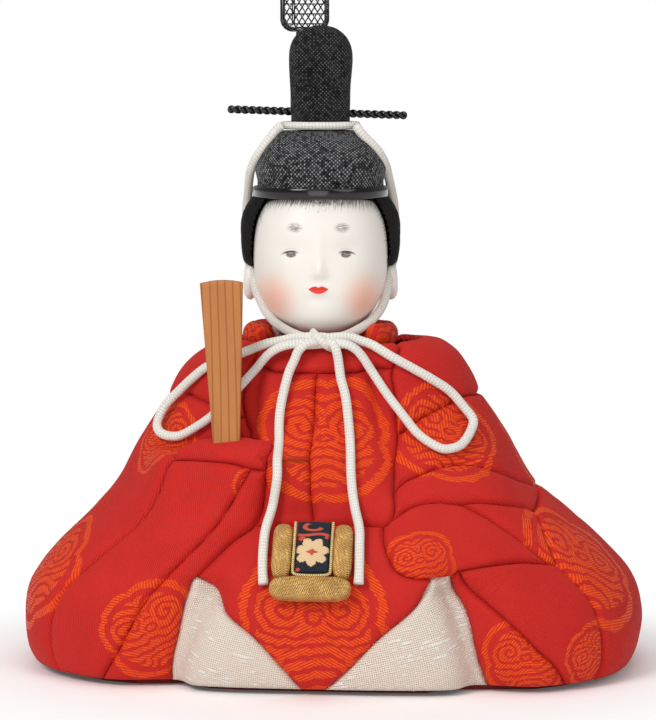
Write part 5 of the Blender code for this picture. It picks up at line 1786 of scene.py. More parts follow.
HAIR_SEAMS: dict[str, Knots] = {
    "temple": (
        (0.495, 0.505), (0.465, 0.532), (0.44, 0.578), (0.42, 0.629), (0.385, 0.684), (0.35, 0.73),
        (0.31, 0.768),
    ),
    "ear": ((0.495, 0.505), (0.56, 0.509), (0.64, 0.519), (0.72, 0.532)),
    "nape": ((0.72, 0.532), (0.85, 0.425), (1.0, 0.372)),
    "behind": ((0.72, 0.532), (0.72, 0.607), (0.72, 0.689), (0.72, 0.768)),
    "rim": ((0.31, 0.768), (0.5, 0.768), (0.72, 0.768)),
    "rim_back": ((0.72, 0.768), (0.85, 0.768), (1.0, 0.768)),
}

ROUNDELS: tuple[Roundel, ...] = (
    Roundel(0.345, 0.325, 18.5 * MM, -38.0),
    Roundel(0.117, 0.352, 9.0 * MM, 15.0),
    Roundel(0.212, 0.110, 11.0 * MM, 10.0),
    Roundel(0.292, 0.110, 8.5 * MM, 30.0),
    Roundel(0.238, 0.612, 14.3 * MM, -30.0),
    Roundel(-0.168, 0.170, 12.8 * MM, 30.0),
    Roundel(-0.372, 0.285, 16.5 * MM, 30.0),
    Roundel(-0.295, 0.591, 10.5 * MM, 20.0),
    Roundel(0.020, 0.600, 17.5 * MM, 0.0),
    Roundel(0.002, 0.205, 19.5 * MM, 0.0),
    Roundel(-0.067, 0.522, 7.0 * MM, 40.0),
    Roundel(-0.560, 0.460, 16.0 * MM, 20.0),
    Roundel(0.600, 0.560, 15.0 * MM, -10.0),
    Roundel(1.000, 0.600, 17.0 * MM, 0.0),
    Roundel(-0.850, 0.130, 12.0 * MM, 0.0),
    Roundel(0.850, 0.130, 12.0 * MM, 0.0),
)
FAR_ROUNDEL = Roundel(0.5, 0.9, 1.0 * MM)


# Cords


def tube_rows(course: Grid, radii: Grid, flatten: float, sides: int, up: Sequence[float]) -> Grid:
    """The points of a tube round a course.

    Args:
        course: the course's points.
        radii: the tube's radius at each.
        flatten: its depth as a share of its width.
        sides: how many points a ring has.
        up: the direction that its flat face looks to.

    Returns:
        The points, ring by ring.
    """
    flat, wide = frames_along(course, up)
    angles = np.arange(sides) / sides * 2 * np.pi
    groove = 1 - 0.07 * np.exp(-((((angles + np.pi) % (2 * np.pi) - np.pi) / 0.35) ** 2))
    ring = np.stack([np.cos(angles) * groove * flatten, np.sin(angles) * groove], 1)
    rows = course[:, None] + radii[:, None, None] * (
        ring[None, :, :1] * flat[:, None] + ring[None, :, 1:] * wide[:, None]
    )
    return rows.reshape(-1, 3)


def tube_faces(rings: int, sides: int) -> list[tuple[int, ...]]:
    """The faces of a tube with closed ends.

    Args:
        rings: how many rings it has.
        sides: how many points a ring has.

    Returns:
        The faces, as point numbers.
    """
    last = (rings - 1) * sides
    ends = [tuple(range(sides))[::-1], tuple(range(last, last + sides))]
    return lattice(rings, sides, around=True) + ends


def braid_rows(course: Grid, sides: int, chance: float) -> Grid:
    """What a braided tube's points carry.

    Args:
        course: the tube's course.
        sides: how many points a ring has.
        chance: the tube's own chance number.

    Returns:
        The run along it, the share round it and the chance number.
    """
    runs = runs_along(course)
    around = np.abs(np.arange(sides) / sides * 2 - 1)
    return np.stack(
        [np.repeat(runs, sides), np.tile(around, len(course)), np.full(len(course) * sides, chance)], 1
    )


@dataclass(frozen=True)
class CordPlan:
    """One run of braided cord: its route in millimetres and how it ends."""

    route: tuple[tuple[float, float, float], ...]
    body: Body
    far_end: str
    lay: str
    up: tuple[float, float, float] = (0.0, -1.0, 0.4)


CORD_PLANS: dict[str, CordPlan] = {
    "chin_cord_right": CordPlan(
        (
            (-12.3, -4.6, 134.8), (-13.9, -4.0, 133.6), (-15.6, -4.4, 131.4), (-18.4, -4.4, 127.6),
            (-20.2, -3.0, 124.4), (-21.2, -0.6, 121.2), (-21.8, 2.2, 118.0), (-22.5, 4.7, 114.8),
            (-22.9, 6.3, 111.1), (-23.1, 6.7, 107.7), (-23.1, 5.8, 104.9), (-22.4, 3.7, 102.4),
            (-21.5, 1.2, 100.1), (-20.3, -1.9, 98.3), (-19.7, -3.7, 96.2), (-19.0, -5.2, 93.8),
            (-17.7, -6.7, 91.4), (-16.3, -8.3, 89.0), (-14.1, -10.5, 86.7), (-12.3, -12.4, 85.6),
            (-10.2, -14.5, 84.6), (-7.9, -16.9, 83.8), (-5.5, -19.3, 83.3), (-3.2, -20.9, 83.1),
        ),
        Body.HEAD, "object", "taut",
    ),
    "chin_cord_left": CordPlan(
        (
            (6.0, -4.6, 134.7), (7.1, -5.0, 133.2), (8.9, -4.6, 131.2), (11.6, -3.4, 128.2),
            (13.1, -1.0, 124.8), (13.6, 2.2, 121.6), (14.0, 5.8, 118.3), (14.4, 8.6, 114.8),
            (14.5, 10.3, 111.1), (14.6, 10.7, 107.7), (14.8, 9.8, 104.9), (14.6, 7.6, 102.4),
            (14.3, 4.9, 100.1), (13.8, 1.7, 98.3), (13.8, -0.2, 96.2), (13.6, -1.8, 93.8),
            (13.1, -3.4, 91.4), (12.1, -5.4, 89.0), (10.3, -8.0, 86.7), (8.9, -10.1, 85.6),
            (7.1, -12.7, 84.6), (5.3, -15.5, 83.8), (3.4, -18.3, 83.3), (1.3, -20.4, 83.1),
        ),
        Body.HEAD, "object", "taut",
    ),
    "bow_loop_right": CordPlan(
        (
            (-1.2, -20.9, 83.2), (-4.2, -20.8, 83.4), (-7.2, -20.4, 83.3), (-10.3, -20.6, 82.6),
            (-13.4, -20.8, 82.0), (-15.8, -20.2, 81.2), (-18.2, -19.0, 80.2), (-20.5, -18.9, 79.3),
            (-25.2, -18.2, 77.4), (-29.8, -16.9, 75.5), (-33.5, -16.2, 72.6), (-37.4, -15.2, 68.9),
            (-40.5, -15.0, 65.5), (-42.2, -16.2, 61.8), (-41.6, -18.0, 59.6), (-39.2, -20.0, 58.7),
            (-35.9, -21.6, 58.9), (-32.1, -22.6, 60.9), (-27.7, -23.3, 64.0), (-24.1, -23.2, 67.7),
            (-20.2, -22.4, 71.9), (-17.0, -21.4, 75.5), (-13.8, -22.4, 79.2), (-10.8, -23.0, 81.1),
            (-7.6, -23.0, 81.9), (-4.4, -22.6, 82.1), (-1.6, -21.8, 82.2),
        ),
        Body.NECK, "object", "loose",
    ),
    "bow_loop_left": CordPlan(
        (
            (0.0, -20.9, 83.2), (3.2, -20.6, 83.5), (6.2, -20.0, 83.4), (8.6, -20.0, 82.6),
            (11.5, -20.0, 81.6), (16.1, -20.3, 78.9), (21.0, -19.4, 76.1), (25.6, -18.2, 73.4),
            (30.2, -16.5, 70.2), (33.8, -15.8, 66.1), (36.0, -16.2, 63.2), (35.8, -18.4, 61.0),
            (34.3, -22.4, 58.4), (32.6, -24.5, 57.3), (29.7, -25.9, 56.9), (26.7, -26.0, 58.1),
            (23.0, -25.4, 60.7), (19.3, -24.5, 65.1), (15.5, -23.3, 69.8), (11.8, -22.3, 75.1),
            (8.8, -22.6, 79.6), (6.3, -22.9, 81.6), (3.4, -22.6, 82.2), (0.6, -21.8, 82.3),
        ),
        Body.NECK, "object", "loose",
    ),
    "cord_tail_right": CordPlan(
        (
            (-2.0, -21.9, 82.4), (-4.4, -23.2, 81.9), (-6.2, -23.5, 80.3), (-7.2, -23.6, 78.0),
            (-8.8, -24.4, 74.0), (-10.4, -26.5, 65.8), (-10.2, -30.6, 58.6), (-9.9, -36.3, 54.9),
            (-9.7, -38.5, 51.0), (-10.8, -38.3, 44.2), (-12.0, -41.9, 39.2), (-12.2, -45.0, 35.4),
            (-12.1, -47.5, 31.0), (-11.7, -49.5, 26.9),
        ),
        Body.NECK, "bare", "hanging",
    ),
    "cord_tail_left": CordPlan(
        (
            (0.4, -21.9, 82.4), (2.2, -23.2, 82.0), (3.1, -23.7, 80.3), (3.6, -23.8, 78.0),
            (4.3, -24.6, 73.7), (5.7, -25.8, 68.6), (6.9, -28.4, 59.1), (7.7, -33.6, 50.8),
            (8.8, -37.6, 44.9), (10.5, -42.3, 39.6), (10.9, -45.8, 35.8), (11.1, -48.4, 31.5),
            (11.1, -50.1, 27.4),
        ),
        Body.NECK, "bare", "hanging",
    ),
}


@dataclass(frozen=True)
class CordTie:
    """The white cord that ties the cap: ring, chin runs, knot, bow loops and ends."""

    braid: bpy.types.Material
    radius: float = 1.15 * MM
    flatten: float = 0.88
    sides: int = 20
    step: float = 0.55 * MM
    foot_rise: float = 0.048
    knot: tuple[float, float, float] = (-0.6 * MM, -20.2 * MM, 82.6 * MM)

    def run(self, name: str, plan: CordPlan, chance: float, node: str) -> None:
        """Lay one run of cord.

        Args:
            name: the piece's name.
            plan: its route and how it ends.
            chance: a number that makes it differ from the others.
            node: the packed node that it stands for.
        """
        knots = np.array(plan.route) * MM
        course = evenly(knots, max(round(length_of(evenly(knots, 400)) / self.step), 24))
        radii = np.full(len(course), self.radius)
        if plan.far_end == "bare":
            last = np.linspace(0, 1, 6)
            radii[-6:] *= 1 + 0.10 * last
            radii[-1] *= 0.96
        radii[0] *= 0.9
        points = tube_rows(course, radii, self.flatten, self.sides, plan.up)
        blended = name.startswith("chin")
        made = piece(
            name, points, tube_faces(len(course), self.sides), self.braid, None if blended else plan.body,
            Slot.WHITE_CORD, node, braid=braid_rows(course, self.sides, chance),
        )
        if blended:
            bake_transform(made)
        2 * self.radius

    def ring(self) -> None:
        """Lay the cord round the cup's foot, and the whipping that joins its ends."""
        around = np.linspace(1.035, 2.965, 120)
        rise = np.full(120, self.foot_rise)
        course = KOJI_FORM.place(around, rise, self.radius + 0.3 * MM) + [0, 2.4 * MM, 0]
        course = moved(evenly(course, 110, 2), NECK)
        points = tube_rows(course, np.full(len(course), self.radius), self.flatten, self.sides, (0, 0, 1))
        made = piece(
            "cap_ring_cord", points, tube_faces(len(course), self.sides), self.braid, Body.HEAD,
            Slot.WHITE_CORD, "cap_cord_ring", braid=braid_rows(course, self.sides, 0.3),
        )
        middle = (course[0] + course[-1]) / 2
        way = unit(course[0] - course[-1])
        bridge = middle + way * np.linspace(-1.7, 1.7, 17)[:, None] * MM
        swell = self.radius * (1.12 + 0.10 * np.abs(np.sin(np.linspace(0, 4 * np.pi, 17))))
        swell[[0, -1]] = self.radius * 0.95
        tie = piece(
            "cap_ring_whipping", tube_rows(bridge, swell, 0.95, 20, (0, 0, 1)), tube_faces(17, 20),
            self.braid, Body.HEAD, Slot.WHITE_CORD, None, braid=braid_rows(bridge * 0.4, 20, 0.8),
        )
        2 * self.radius

    def wraps(self) -> None:
        """Tie the knot: two strands laid across and one over them."""
        strands = (
            ((-6.6, 0.4, 0.6), (-3.4, 0.9, -0.4), (0.0, 0.9, -0.9), (3.4, 0.5, -0.4), (6.4, 0.9, 0.8)),
            (
                (-6.2, -0.9, -0.4), (-3.0, -1.0, -1.2), (0.2, -0.7, -1.5), (3.2, -1.1, -1.2),
                (6.0, -0.6, -0.2),
            ),
            ((-2.6, 1.9, 0.6), (-1.5, 1.2, -1.8), (0.1, 0.0, -2.7), (1.7, -1.3, -2.0), (2.7, -2.0, 0.4)),
        )
        for number, knots in enumerate(strands, 1):
            course = evenly(np.array(knots) * MM, 60)
            course = np.stack([course[:, 0], course[:, 2], course[:, 1]], 1) + np.array(self.knot)
            piece(
                f"knot_strand_{number}", tube_rows(course, np.full(60, 1.12 * MM), 0.8, 18, (0, -1, 0)),
                tube_faces(60, 18), self.braid, Body.NECK, Slot.WHITE_CORD, "cord_knot",
                braid=braid_rows(course, 18, number * 0.2),
            )

    def build(self) -> None:
        """Lay all the cords."""
        for number, (name, plan) in enumerate(CORD_PLANS.items(), 1):
            self.run(
                name.replace("cord_tail", "tail_cord").replace("chin_cord", "chin_run"), plan,
                number * 0.13, name,
            )
        self.ring()
        self.wraps()


# Padding


def cushion(
    width: float, height: float, depth: float, square: float = 3.4, rows: int = 40, columns: int = 56
) -> tuple[Grid, Grid]:
    """A stuffed block's points about its own centre, round at its edges.

    Args:
        width: its width along X.
        height: its length along Y.
        depth: its depth along Z.
        square: how square its section is.
        rows: how many rings it has along Y.
        columns: how many points a ring has.

    Returns:
        The points, and the run round and along at each.
    """
    along = np.linspace(-1, 1, rows)
    along = np.sin(along * np.pi / 2) * 0.35 + along * 0.65
    round_turn = np.arange(columns) / columns * 2 * np.pi
    reach = squared(round_turn, square)
    taper = (1 - np.abs(along) ** 5.0) ** (1 / 2.6)
    taper = np.maximum(taper, 0.02)
    x = width / 2 * reach * np.cos(round_turn)
    z = depth / 2 * reach * np.sin(round_turn)
    points = np.stack(
        [
            np.outer(taper, x).ravel(),
            np.repeat(along * height / 2, columns),
            np.outer(taper, z).ravel(),
        ],
        1,
    )
    run = np.tile(round_turn / (2 * np.pi) * (width + depth) * 1.7, rows)
    carried = np.stack([run, np.repeat(along * height / 2, columns), np.zeros(rows * columns)], 1)
    return points, carried


@dataclass(frozen=True)
class Collars:
    """The stuffed collar roll and the pale silk collar inside it."""

    crepe: bpy.types.Material
    silk: bpy.types.Material
    half_width: float = 16.2 * MM
    half_depth: float = 15.8 * MM
    height: float = 82.6 * MM
    radius: float = 3.3 * MM
    opening: float = 0.27

    def roll(self) -> None:
        """Build the stuffed roll."""
        share = np.linspace(0, 1, 150)
        turn = np.pi * (self.opening + (2 - 2 * self.opening) * share)
        course = np.stack(
            [
                NECK_PLACE[0] + self.half_width * np.sin(turn),
                NECK_PLACE[1] - self.half_depth * np.cos(turn),
                np.full(150, self.height),
            ],
            1,
        )
        ends = np.clip(np.minimum(share, 1 - share) / 0.035, 0, 1)
        radii = self.radius * np.sqrt(np.maximum(1 - (1 - ends) ** 2, 0.02))
        radii = radii * (1 + 0.03 * np.sin(share * 37) + 0.02 * np.sin(share * 91 + 1))
        sides = 48
        points = tube_rows(course, radii, 1.0, sides, (0, 0, 1))
        pleat = ripples(points, 0.16 * MM, 7 * MM, 4.0)
        centre = np.repeat(course, sides, axis=0)
        points = points + unit(points - centre) * pleat[:, None]
        runs = braid_rows(course, sides, 0.4)
        cloth = np.stack([runs[:, 0], np.tile(np.arange(sides) / sides * 21 * MM, 150), runs[:, 2]], 1)
        roundel = roundel_rows(
            points,
            (
                Roundel(-0.26, 0.90, 12 * MM), Roundel(0.30, 0.90, 12 * MM, 20.0),
                Roundel(0.8, 0.95, 11 * MM),
            ),
        )
        made = piece(
            "collar_roll", points, tube_faces(150, sides), self.crepe, Body.ROBE, Slot.COLLAR_CLOTH,
            "outer_collar", cloth=cloth, roundel=roundel,
        )

    def silk_band(self) -> None:
        """Build the folded silk band."""
        profile = np.array(
            [
                (12.45, 79.95), (12.4, 81.0), (12.3, 82.4), (12.15, 83.8), (12.0, 85.0), (11.85, 85.55),
                (11.65, 85.78), (11.48, 85.72), (11.35, 85.45), (11.3, 84.6), (11.32, 83.0), (11.4, 81.4),
                (11.5, 80.0),
            ]
        ) * MM
        turn = np.pi * (1 + np.linspace(-0.70, 0.70, 121))
        radius = profile[None, :, 0] + 0.10 * MM * np.sin(turn * 9)[:, None]
        points = np.stack(
            [
                NECK_PLACE[0] + radius * np.sin(turn)[:, None],
                NECK_PLACE[1] - radius * np.cos(turn)[:, None],
                np.broadcast_to(profile[:, 1], radius.shape),
            ],
            2,
        )
        runs = runs_along(profile)
        around = np.repeat(turn * 11.9 * MM, len(profile))
        cloth = np.stack([around, np.tile(runs, 121), np.full(len(around), 0.6)], 1)
        made = piece(
            "silk_collar", points, lattice(121, len(profile)), self.silk, Body.ROBE, Slot.PALE_SILK,
            "inner_collar", cloth=cloth,
        )

    def build(self) -> None:
        """Build both collars."""
        self.roll()
        self.silk_band()


# Head


@dataclass(frozen=True)
class DollHead:
    """The shell-white head with its modelled face, its ears and its hair."""

    skin: bpy.types.Material
    hair: bpy.types.Material
    sides: int = 200
    rings: int = 150

    def features(self, points: Grid) -> Grid:
        """How far the modelled face stands out from the plain form.

        Args:
            points: points of the head in its own frame.

        Returns:
            A height for each point.
        """
        x, z = points[:, 0] / MM + 0.35, points[:, 2] / MM
        front = np.clip(-points[:, 1] / MM / 8 - 0.4, 0, 1)
        bumps = (
            (0.0, 99.6, 1.5, 2.3, 1.05), (0.0, 103.5, 1.3, 4.5, 0.45), (-1.35, 98.6, 1.0, 0.9, 0.30),
            (1.35, 98.6, 1.0, 0.9, 0.30),
            (-6.9, 104.4, 3.6, 2.2, -0.50), (6.9, 104.4, 3.6, 2.2, -0.50), (0.0, 95.4, 2.1, 0.7, 0.40),
            (0.0, 94.2, 1.8, 0.7, 0.45),
            (0.0, 94.85, 2.4, 0.28, -0.35), (0.0, 92.4, 2.6, 0.9, -0.22), (0.0, 88.4, 4.2, 3.0, 0.50),
            (-8.6, 95.0, 4.6, 5.0, 0.35),
            (8.6, 95.0, 4.6, 5.0, 0.35), (0.0, 97.2, 0.8, 1.0, -0.15),
        )
        out = np.zeros(len(points))
        for centre_x, centre_z, wide, tall, high in bumps:
            out += high * MM * np.exp(-(((x - centre_x) / wide) ** 2) - ((z - centre_z) / tall) ** 2)
        return out * front

    def hairline(self, around: Grid, rise: Grid, points: Grid) -> Grid:
        """How the first hairs grow: run along the hairline and distance below it, in millimetres.

        Args:
            around: each point's share of the half turn.
            rise: each point's rise.
            points: the points of the head in its own frame.

        Returns:
            The run, the distance and the side.
        """
        knots = np.array(
            [
                (0.0, 0.746), (0.13, 0.745), (0.24, 0.743), (0.33, 0.728), (0.385, 0.684), (0.42, 0.629),
                (0.44, 0.578), (0.465, 0.532), (0.495, 0.505), (0.51, 0.453),
            ]
        )
        course = through(knots, np.linspace(0, 1, 97))
        line = HEAD_FORM.surface(course[:, 0], course[:, 1])
        runs = runs_along(line) / MM
        mirrored = points.copy()
        mirrored[:, 0] = np.abs(mirrored[:, 0])
        rows = []
        for part in np.array_split(mirrored, 40):
            gap = np.sqrt(((part[:, None] - line[None]) ** 2).sum(2))
            nearest = gap.argmin(1)
            rows.append(np.stack([runs[nearest], gap.min(1) / MM], 1))
        found = np.concatenate(rows)
        limit = np.interp(np.abs(around), course[:, 0], course[:, 1])
        found[(rise > limit) & (np.abs(around) < 0.51), 1] = 0.0
        found[:, 0] = found[:, 0] * np.sign(points[:, 0] + 1e-9) + 100
        return np.concatenate([found, np.zeros((len(found), 1))], 1)

    def shell(self) -> None:
        """Build the head's shell."""
        turn = np.arange(self.sides) / self.sides * 2 - 1
        turn = turn - 0.28 * np.sin(2 * np.pi * turn) / (2 * np.pi) * 1.6
        rise = np.linspace(0, 1, self.rings)
        around, height = np.meshgrid(turn, rise)
        around, height = around.ravel(), height.ravel()
        flat = HEAD_FORM.surface(around, height)
        points = HEAD_FORM.place(around, height, self.features(flat))
        front = np.clip(-flat[:, 1] / MM / 4 - 0.2, 0, 1)
        face = np.stack([points[:, 0] / MM, points[:, 2] / MM, front], 1)
        faces = tube_faces(self.rings, self.sides)
        piece(
            "painted_head", moved(points, NECK), faces, self.skin, Body.HEAD, Slot.SHELL_WHITE, "head",
            face=face, hairline=self.hairline(around, height, flat),
        )

    def ear(self, side: int) -> None:
        """Build one ear.

        Args:
            side: 1 for the left ear, -1 for the right one.
        """
        rows, columns = 34, 44
        up, turn = np.meshgrid(
            np.linspace(-1, 1, rows), np.arange(columns) / columns * 2 * np.pi, indexing="ij"
        )
        up, turn = up.ravel(), turn.ravel()
        up = np.sin(up * np.pi / 2)
        reach = np.sqrt(np.maximum(1 - up**2, 0.0006))
        x, y = reach * np.cos(turn), reach * np.sin(turn)
        hollow = np.exp(-(((y - 0.05) / 0.42) ** 2) - ((up - 0.12) / 0.46) ** 2) * np.clip(x * side, 0, 1)
        x = x - side * 0.62 * hollow
        wide = 1 + 0.16 * up
        points = np.stack([x * 2.1, y * 2.9 * wide - 0.4 * up, up * 4.6], 1) * MM + np.array(
            [side * 17.7, 2.2, 95.6]
        ) * MM
        face = np.stack([np.full(len(points), 60.0), points[:, 2] / MM, np.zeros(len(points))], 1)
        line = np.full((len(points), 3), 50.0)
        faces = tube_faces(rows, columns)
        name = "ear_left" if side > 0 else "ear_right"
        piece(
            name, moved(points, NECK), faces, self.skin, Body.HEAD, Slot.SHELL_WHITE, "head", face=face,
            hairline=line,
        )

    def locks(self) -> None:
        """Build the hair: two side locks and the back."""
        left = dict(HAIR_SEAMS)
        right = {name: tuple((-around, rise) for around, rise in knots) for name, knots in left.items()}
        back = dict(left)
        for name, knots in right.items():
            back["right " + name] = tuple((around + 2, rise) for around, rise in knots)
        lock = ((("ear", 0, 3),), (("rim", 0, 2),), (("temple", 0, 6),), (("behind", 0, 3),))
        nape = (
            (("nape", 0, 2), ("right nape", 2, 0)),
            (("rim_back", 0, 2), ("right rim_back", 2, 0)),
            (("behind", 0, 3),),
            (("right behind", 0, 3),),
        )
        edge = tuple(step * MM for step in (0.0, 0.12, 0.3, 0.55, 0.9, 1.4, 2.0, 2.8))
        rule = ClothRule(HEAD_FORM)
        for name, table, spans in (
            ("hair_left", left, lock), ("hair_right", right, lock), ("hair_back", back, nape)
        ):
            patch = Patch.between(HEAD_FORM, table, spans, 0.6 * MM, edge)
            places = patch.places()
            flat = HEAD_FORM.surface(places[:, 0], places[:, 1])
            inward = patch.distance_in(flat)
            share = np.clip(inward / (1.7 * MM), 0, 1)
            low = np.clip((places[:, 1] - 0.50) / 0.11, 0, 1)
            full = 1.5 + 1.4 * np.sqrt(1 - (1 - low) ** 2)
            full = full + 0.5 * np.exp(-(((places[:, 1] - 0.66) / 0.05) ** 2))
            full = (full - 1.3 * np.exp(-(((places[:, 1] - 0.77) / 0.05) ** 2))) * MM
            rise = 0.05 * MM + full * np.sqrt(np.clip(1 - (1 - share) ** 2.2, 0, 1))
            cloth = rule.lay(places, 0.0, 0.3)
            across = cloth[:, 0] / MM
            comb = np.sin(across * 5.1) * 0.06 + np.sin(across * 2.3 + 1) * 0.10
            rise += comb * MM * share
            points = HEAD_FORM.place(places[:, 0], places[:, 1], rise)
            piece(
                f"combed_{name}", moved(points, NECK), lattice(len(patch.upward), len(patch.across)),
                self.hair, Body.HEAD, Slot.BLACK_THREAD, name, cloth=cloth,
            )

    def build(self) -> None:
        """Build the head."""
        self.shell()
        self.ear(-1)
        self.ear(1)
        self.locks()


# Court cap


@dataclass(frozen=True)
class CourtCap:
    """The lacquered court cap: rim, gauze crown and cup, twisted hairpin and netted tail."""

    gauze: bpy.types.Material
    lacquer: bpy.types.Material
    rim_foot: float = 117.0 * MM
    rim_height: float = 2.6 * MM

    def woven(
        self, name: str, node: str, form: Form, back: float, sides: int, rings: int, full: float
    ) -> None:
        """Build one shell of gauze on a form.

        Args:
            name: the piece's name.
            node: the packed node that it stands for.
            form: its form.
            back: how far back it stands.
            sides: how many points a ring has.
            rings: how many rings it has.
            full: how far it swells above its foot.
        """
        around, rise = np.meshgrid(np.arange(sides) / sides * 2 - 1, np.linspace(0, 1, rings))
        around, rise = around.ravel(), rise.ravel()
        flat = form.surface(around, rise)
        dent = ripples(flat, 0.10 * MM, 14 * MM, 2.0)
        dent += full * np.clip((rise - 0.24) * 8, 0, 1) * np.clip((1 - rise) * 3, 0, 1)
        points = form.place(around, rise, dent) + [0, back, 0]
        cloth = ClothRule(form).lay(np.stack([around, rise], 1), 0.0, 0.1 if full > 0 else 0.9)
        faces = lattice(rings, sides, around=True) + [tuple(range((rings - 1) * sides, rings * sides))]
        piece(name, moved(points, NECK), faces, self.gauze, Body.HEAD, Slot.BLACK_GAUZE, node, cloth=cloth)

    def rim(self) -> None:
        """Build the lacquered rim."""
        turn = np.arange(200) / 200 * 2 - 1
        share = np.full(200, 0.17)
        inner, outer = CROWN_FORM.place(turn, share, 0.4 * MM), CROWN_FORM.place(turn, share, 1.15 * MM)
        profile = []
        for step in np.arange(24) / 24 * 2 * np.pi:
            reach = squared(step, 3.5)
            mix = 0.5 + 0.5 * reach * math.cos(step)
            row = inner * (1 - mix) + outer * mix
            row[:, 2] = self.rim_foot + self.rim_height / 2 * (1 + reach * math.sin(step))
            profile.append(row)
        points = np.stack(profile, 1).reshape(-1, 3)
        piece(
            "lacquered_rim", moved(points, NECK), lattice(200, 24, around=True, closed=True), self.lacquer,
            Body.HEAD, Slot.BLACK_LACQUER, "cap_rim",
        )

    def pin(self) -> None:
        """Build the hairpin of two twisted strands."""
        tilt = math.radians(2.0)
        axis = np.array([math.cos(tilt), 0.0, -math.sin(tilt)])
        low, side = np.array([-math.sin(tilt), 0.0, -math.cos(tilt)]), np.array([0.0, 1.0, 0.0])
        centre = np.array([-0.8, 2.4, 137.9]) * MM
        half, pitch, rounding = 22.4 * MM, 3.6 * MM, 1.0 * MM
        run = np.linspace(-half, half, 260)
        for number, start in enumerate((0.0, math.pi), 1):
            turn = run / pitch * 2 * math.pi + start
            ends = np.clip((half - np.abs(run)) / rounding, 0, 1)
            wide = 0.46 * MM * np.sqrt(1 - (1 - ends) ** 2 * 0.8)
            course = centre + run[:, None] * axis + wide[:, None] * (
                np.cos(turn)[:, None] * low + np.sin(turn)[:, None] * side
            )
            radii = 0.60 * MM * np.sqrt(np.maximum(1 - (1 - ends) ** 2, 0.05))
            piece(
                f"hairpin_strand_{number}", moved(tube_rows(course, radii, 1.0, 16, (0, 0, 1)), NECK),
                tube_faces(len(course), 16), self.lacquer, Body.PIN, Slot.BLACK_LACQUER, "hairpin",
            )

    def tail(self) -> None:
        """Build the tail: a bound frame with a tang, and the net of threads in it."""
        back = 10.55 * MM
        wide, foot, top, corner = 6.2 * MM, 158.0 * MM, 206.0 * MM, 3.2 * MM

        def border(inset: float) -> Grid:
            """The frame's outline, drawn in.

            Args:
                inset: how far it is drawn in.

            Returns:
                The outline's points.
            """
            rows = []
            for centre_x, centre_z, start in (
                (wide - corner, top - corner, 0.0), (corner - wide, top - corner, 90.0),
                (corner - wide, foot + corner, 180.0), (wide - corner, foot + corner, 270.0),
            ):
                turns = np.radians(start + np.linspace(0, 90, 13))
                reach = corner - inset
                rows.append(
                    np.stack(
                        [centre_x + reach * np.cos(turns), 0 * turns, centre_z + reach * np.sin(turns)], 1
                    )
                )
            return np.concatenate(rows)

        profile = []
        for step in np.arange(14) / 14 * 2 * np.pi:
            row = border(0.65 * MM - 0.63 * MM * math.cos(step))
            row[:, 1] = back + 0.44 * MM * math.sin(step)
            profile.append(row)
        points = np.stack(profile, 1)
        run = np.repeat(np.arange(points.shape[0]) * 1.2 * MM, 14)
        cloth = np.stack([run, np.tile(np.arange(14) * 0.2 * MM, points.shape[0]), 0 * run], 1)
        shift = np.array([-4.0 * MM, 0, 0])
        piece(
            "tail_frame", moved(points.reshape(-1, 3) + shift, NECK),
            lattice(points.shape[0], 14, around=True, closed=True), self.gauze, Body.TAIL, Slot.BLACK_GAUZE,
            "cap_tail", cloth=cloth,
        )
        self.tail_net(back, wide - 0.9 * MM, foot + 0.8 * MM, top - 0.8 * MM, shift)
        self.tail_tang(back, np.array([-2.6 * MM, 0, 0]))

    def tail_net(self, back: float, wide: float, low: float, high: float, shift: Grid) -> None:
        """Build the net of crossing threads.

        Args:
            back: how far back it stands.
            wide: its half width.
            low: its lower edge.
            high: its upper edge.
            shift: how far it is moved sideways.
        """
        rows, faces, carried, threads, count = [], [], [], [], 0
        pitch, steep, apart = 1.55 * MM, 1.6, 0.10 * MM
        line = np.linspace(-wide, wide, 25)
        for slope in (1.0, -1.0):
            start = low - 2 * wide * steep
            while start < high + 2 * wide * steep:
                height = start + (line + wide) * slope * steep
                threads.append(np.stack([line, np.full(25, back + slope * apart), height], 1))
                start += pitch * steep
        for level in np.arange(low + 1.2 * MM, high, 2.48 * MM):
            threads.append(np.stack([line, np.full(25, back), np.full(25, level)], 1))
        for rib in (-3.1 * MM, -2.6 * MM):
            threads.append(np.stack([np.full(60, rib), np.full(60, back), np.linspace(low, high, 60)], 1))
        for thread in threads:
            kept = thread[(thread[:, 2] > low) & (thread[:, 2] < high)]
            if len(kept) < 3:
                continue
            rows.append(tube_rows(kept, np.full(len(kept), 0.20 * MM), 0.8, 6, (0, -1, 0)))
            faces += [tuple(number + count for number in face) for face in tube_faces(len(kept), 6)]
            carried.append(np.repeat(kept[:, [0, 2, 1]], 6, axis=0))
            count += len(kept) * 6
        points = np.concatenate(rows)
        piece(
            "tail_net", moved(points + shift, NECK), faces, self.gauze, Body.TAIL, Slot.BLACK_GAUZE,
            "cap_tail", cloth=np.concatenate(carried),
        )

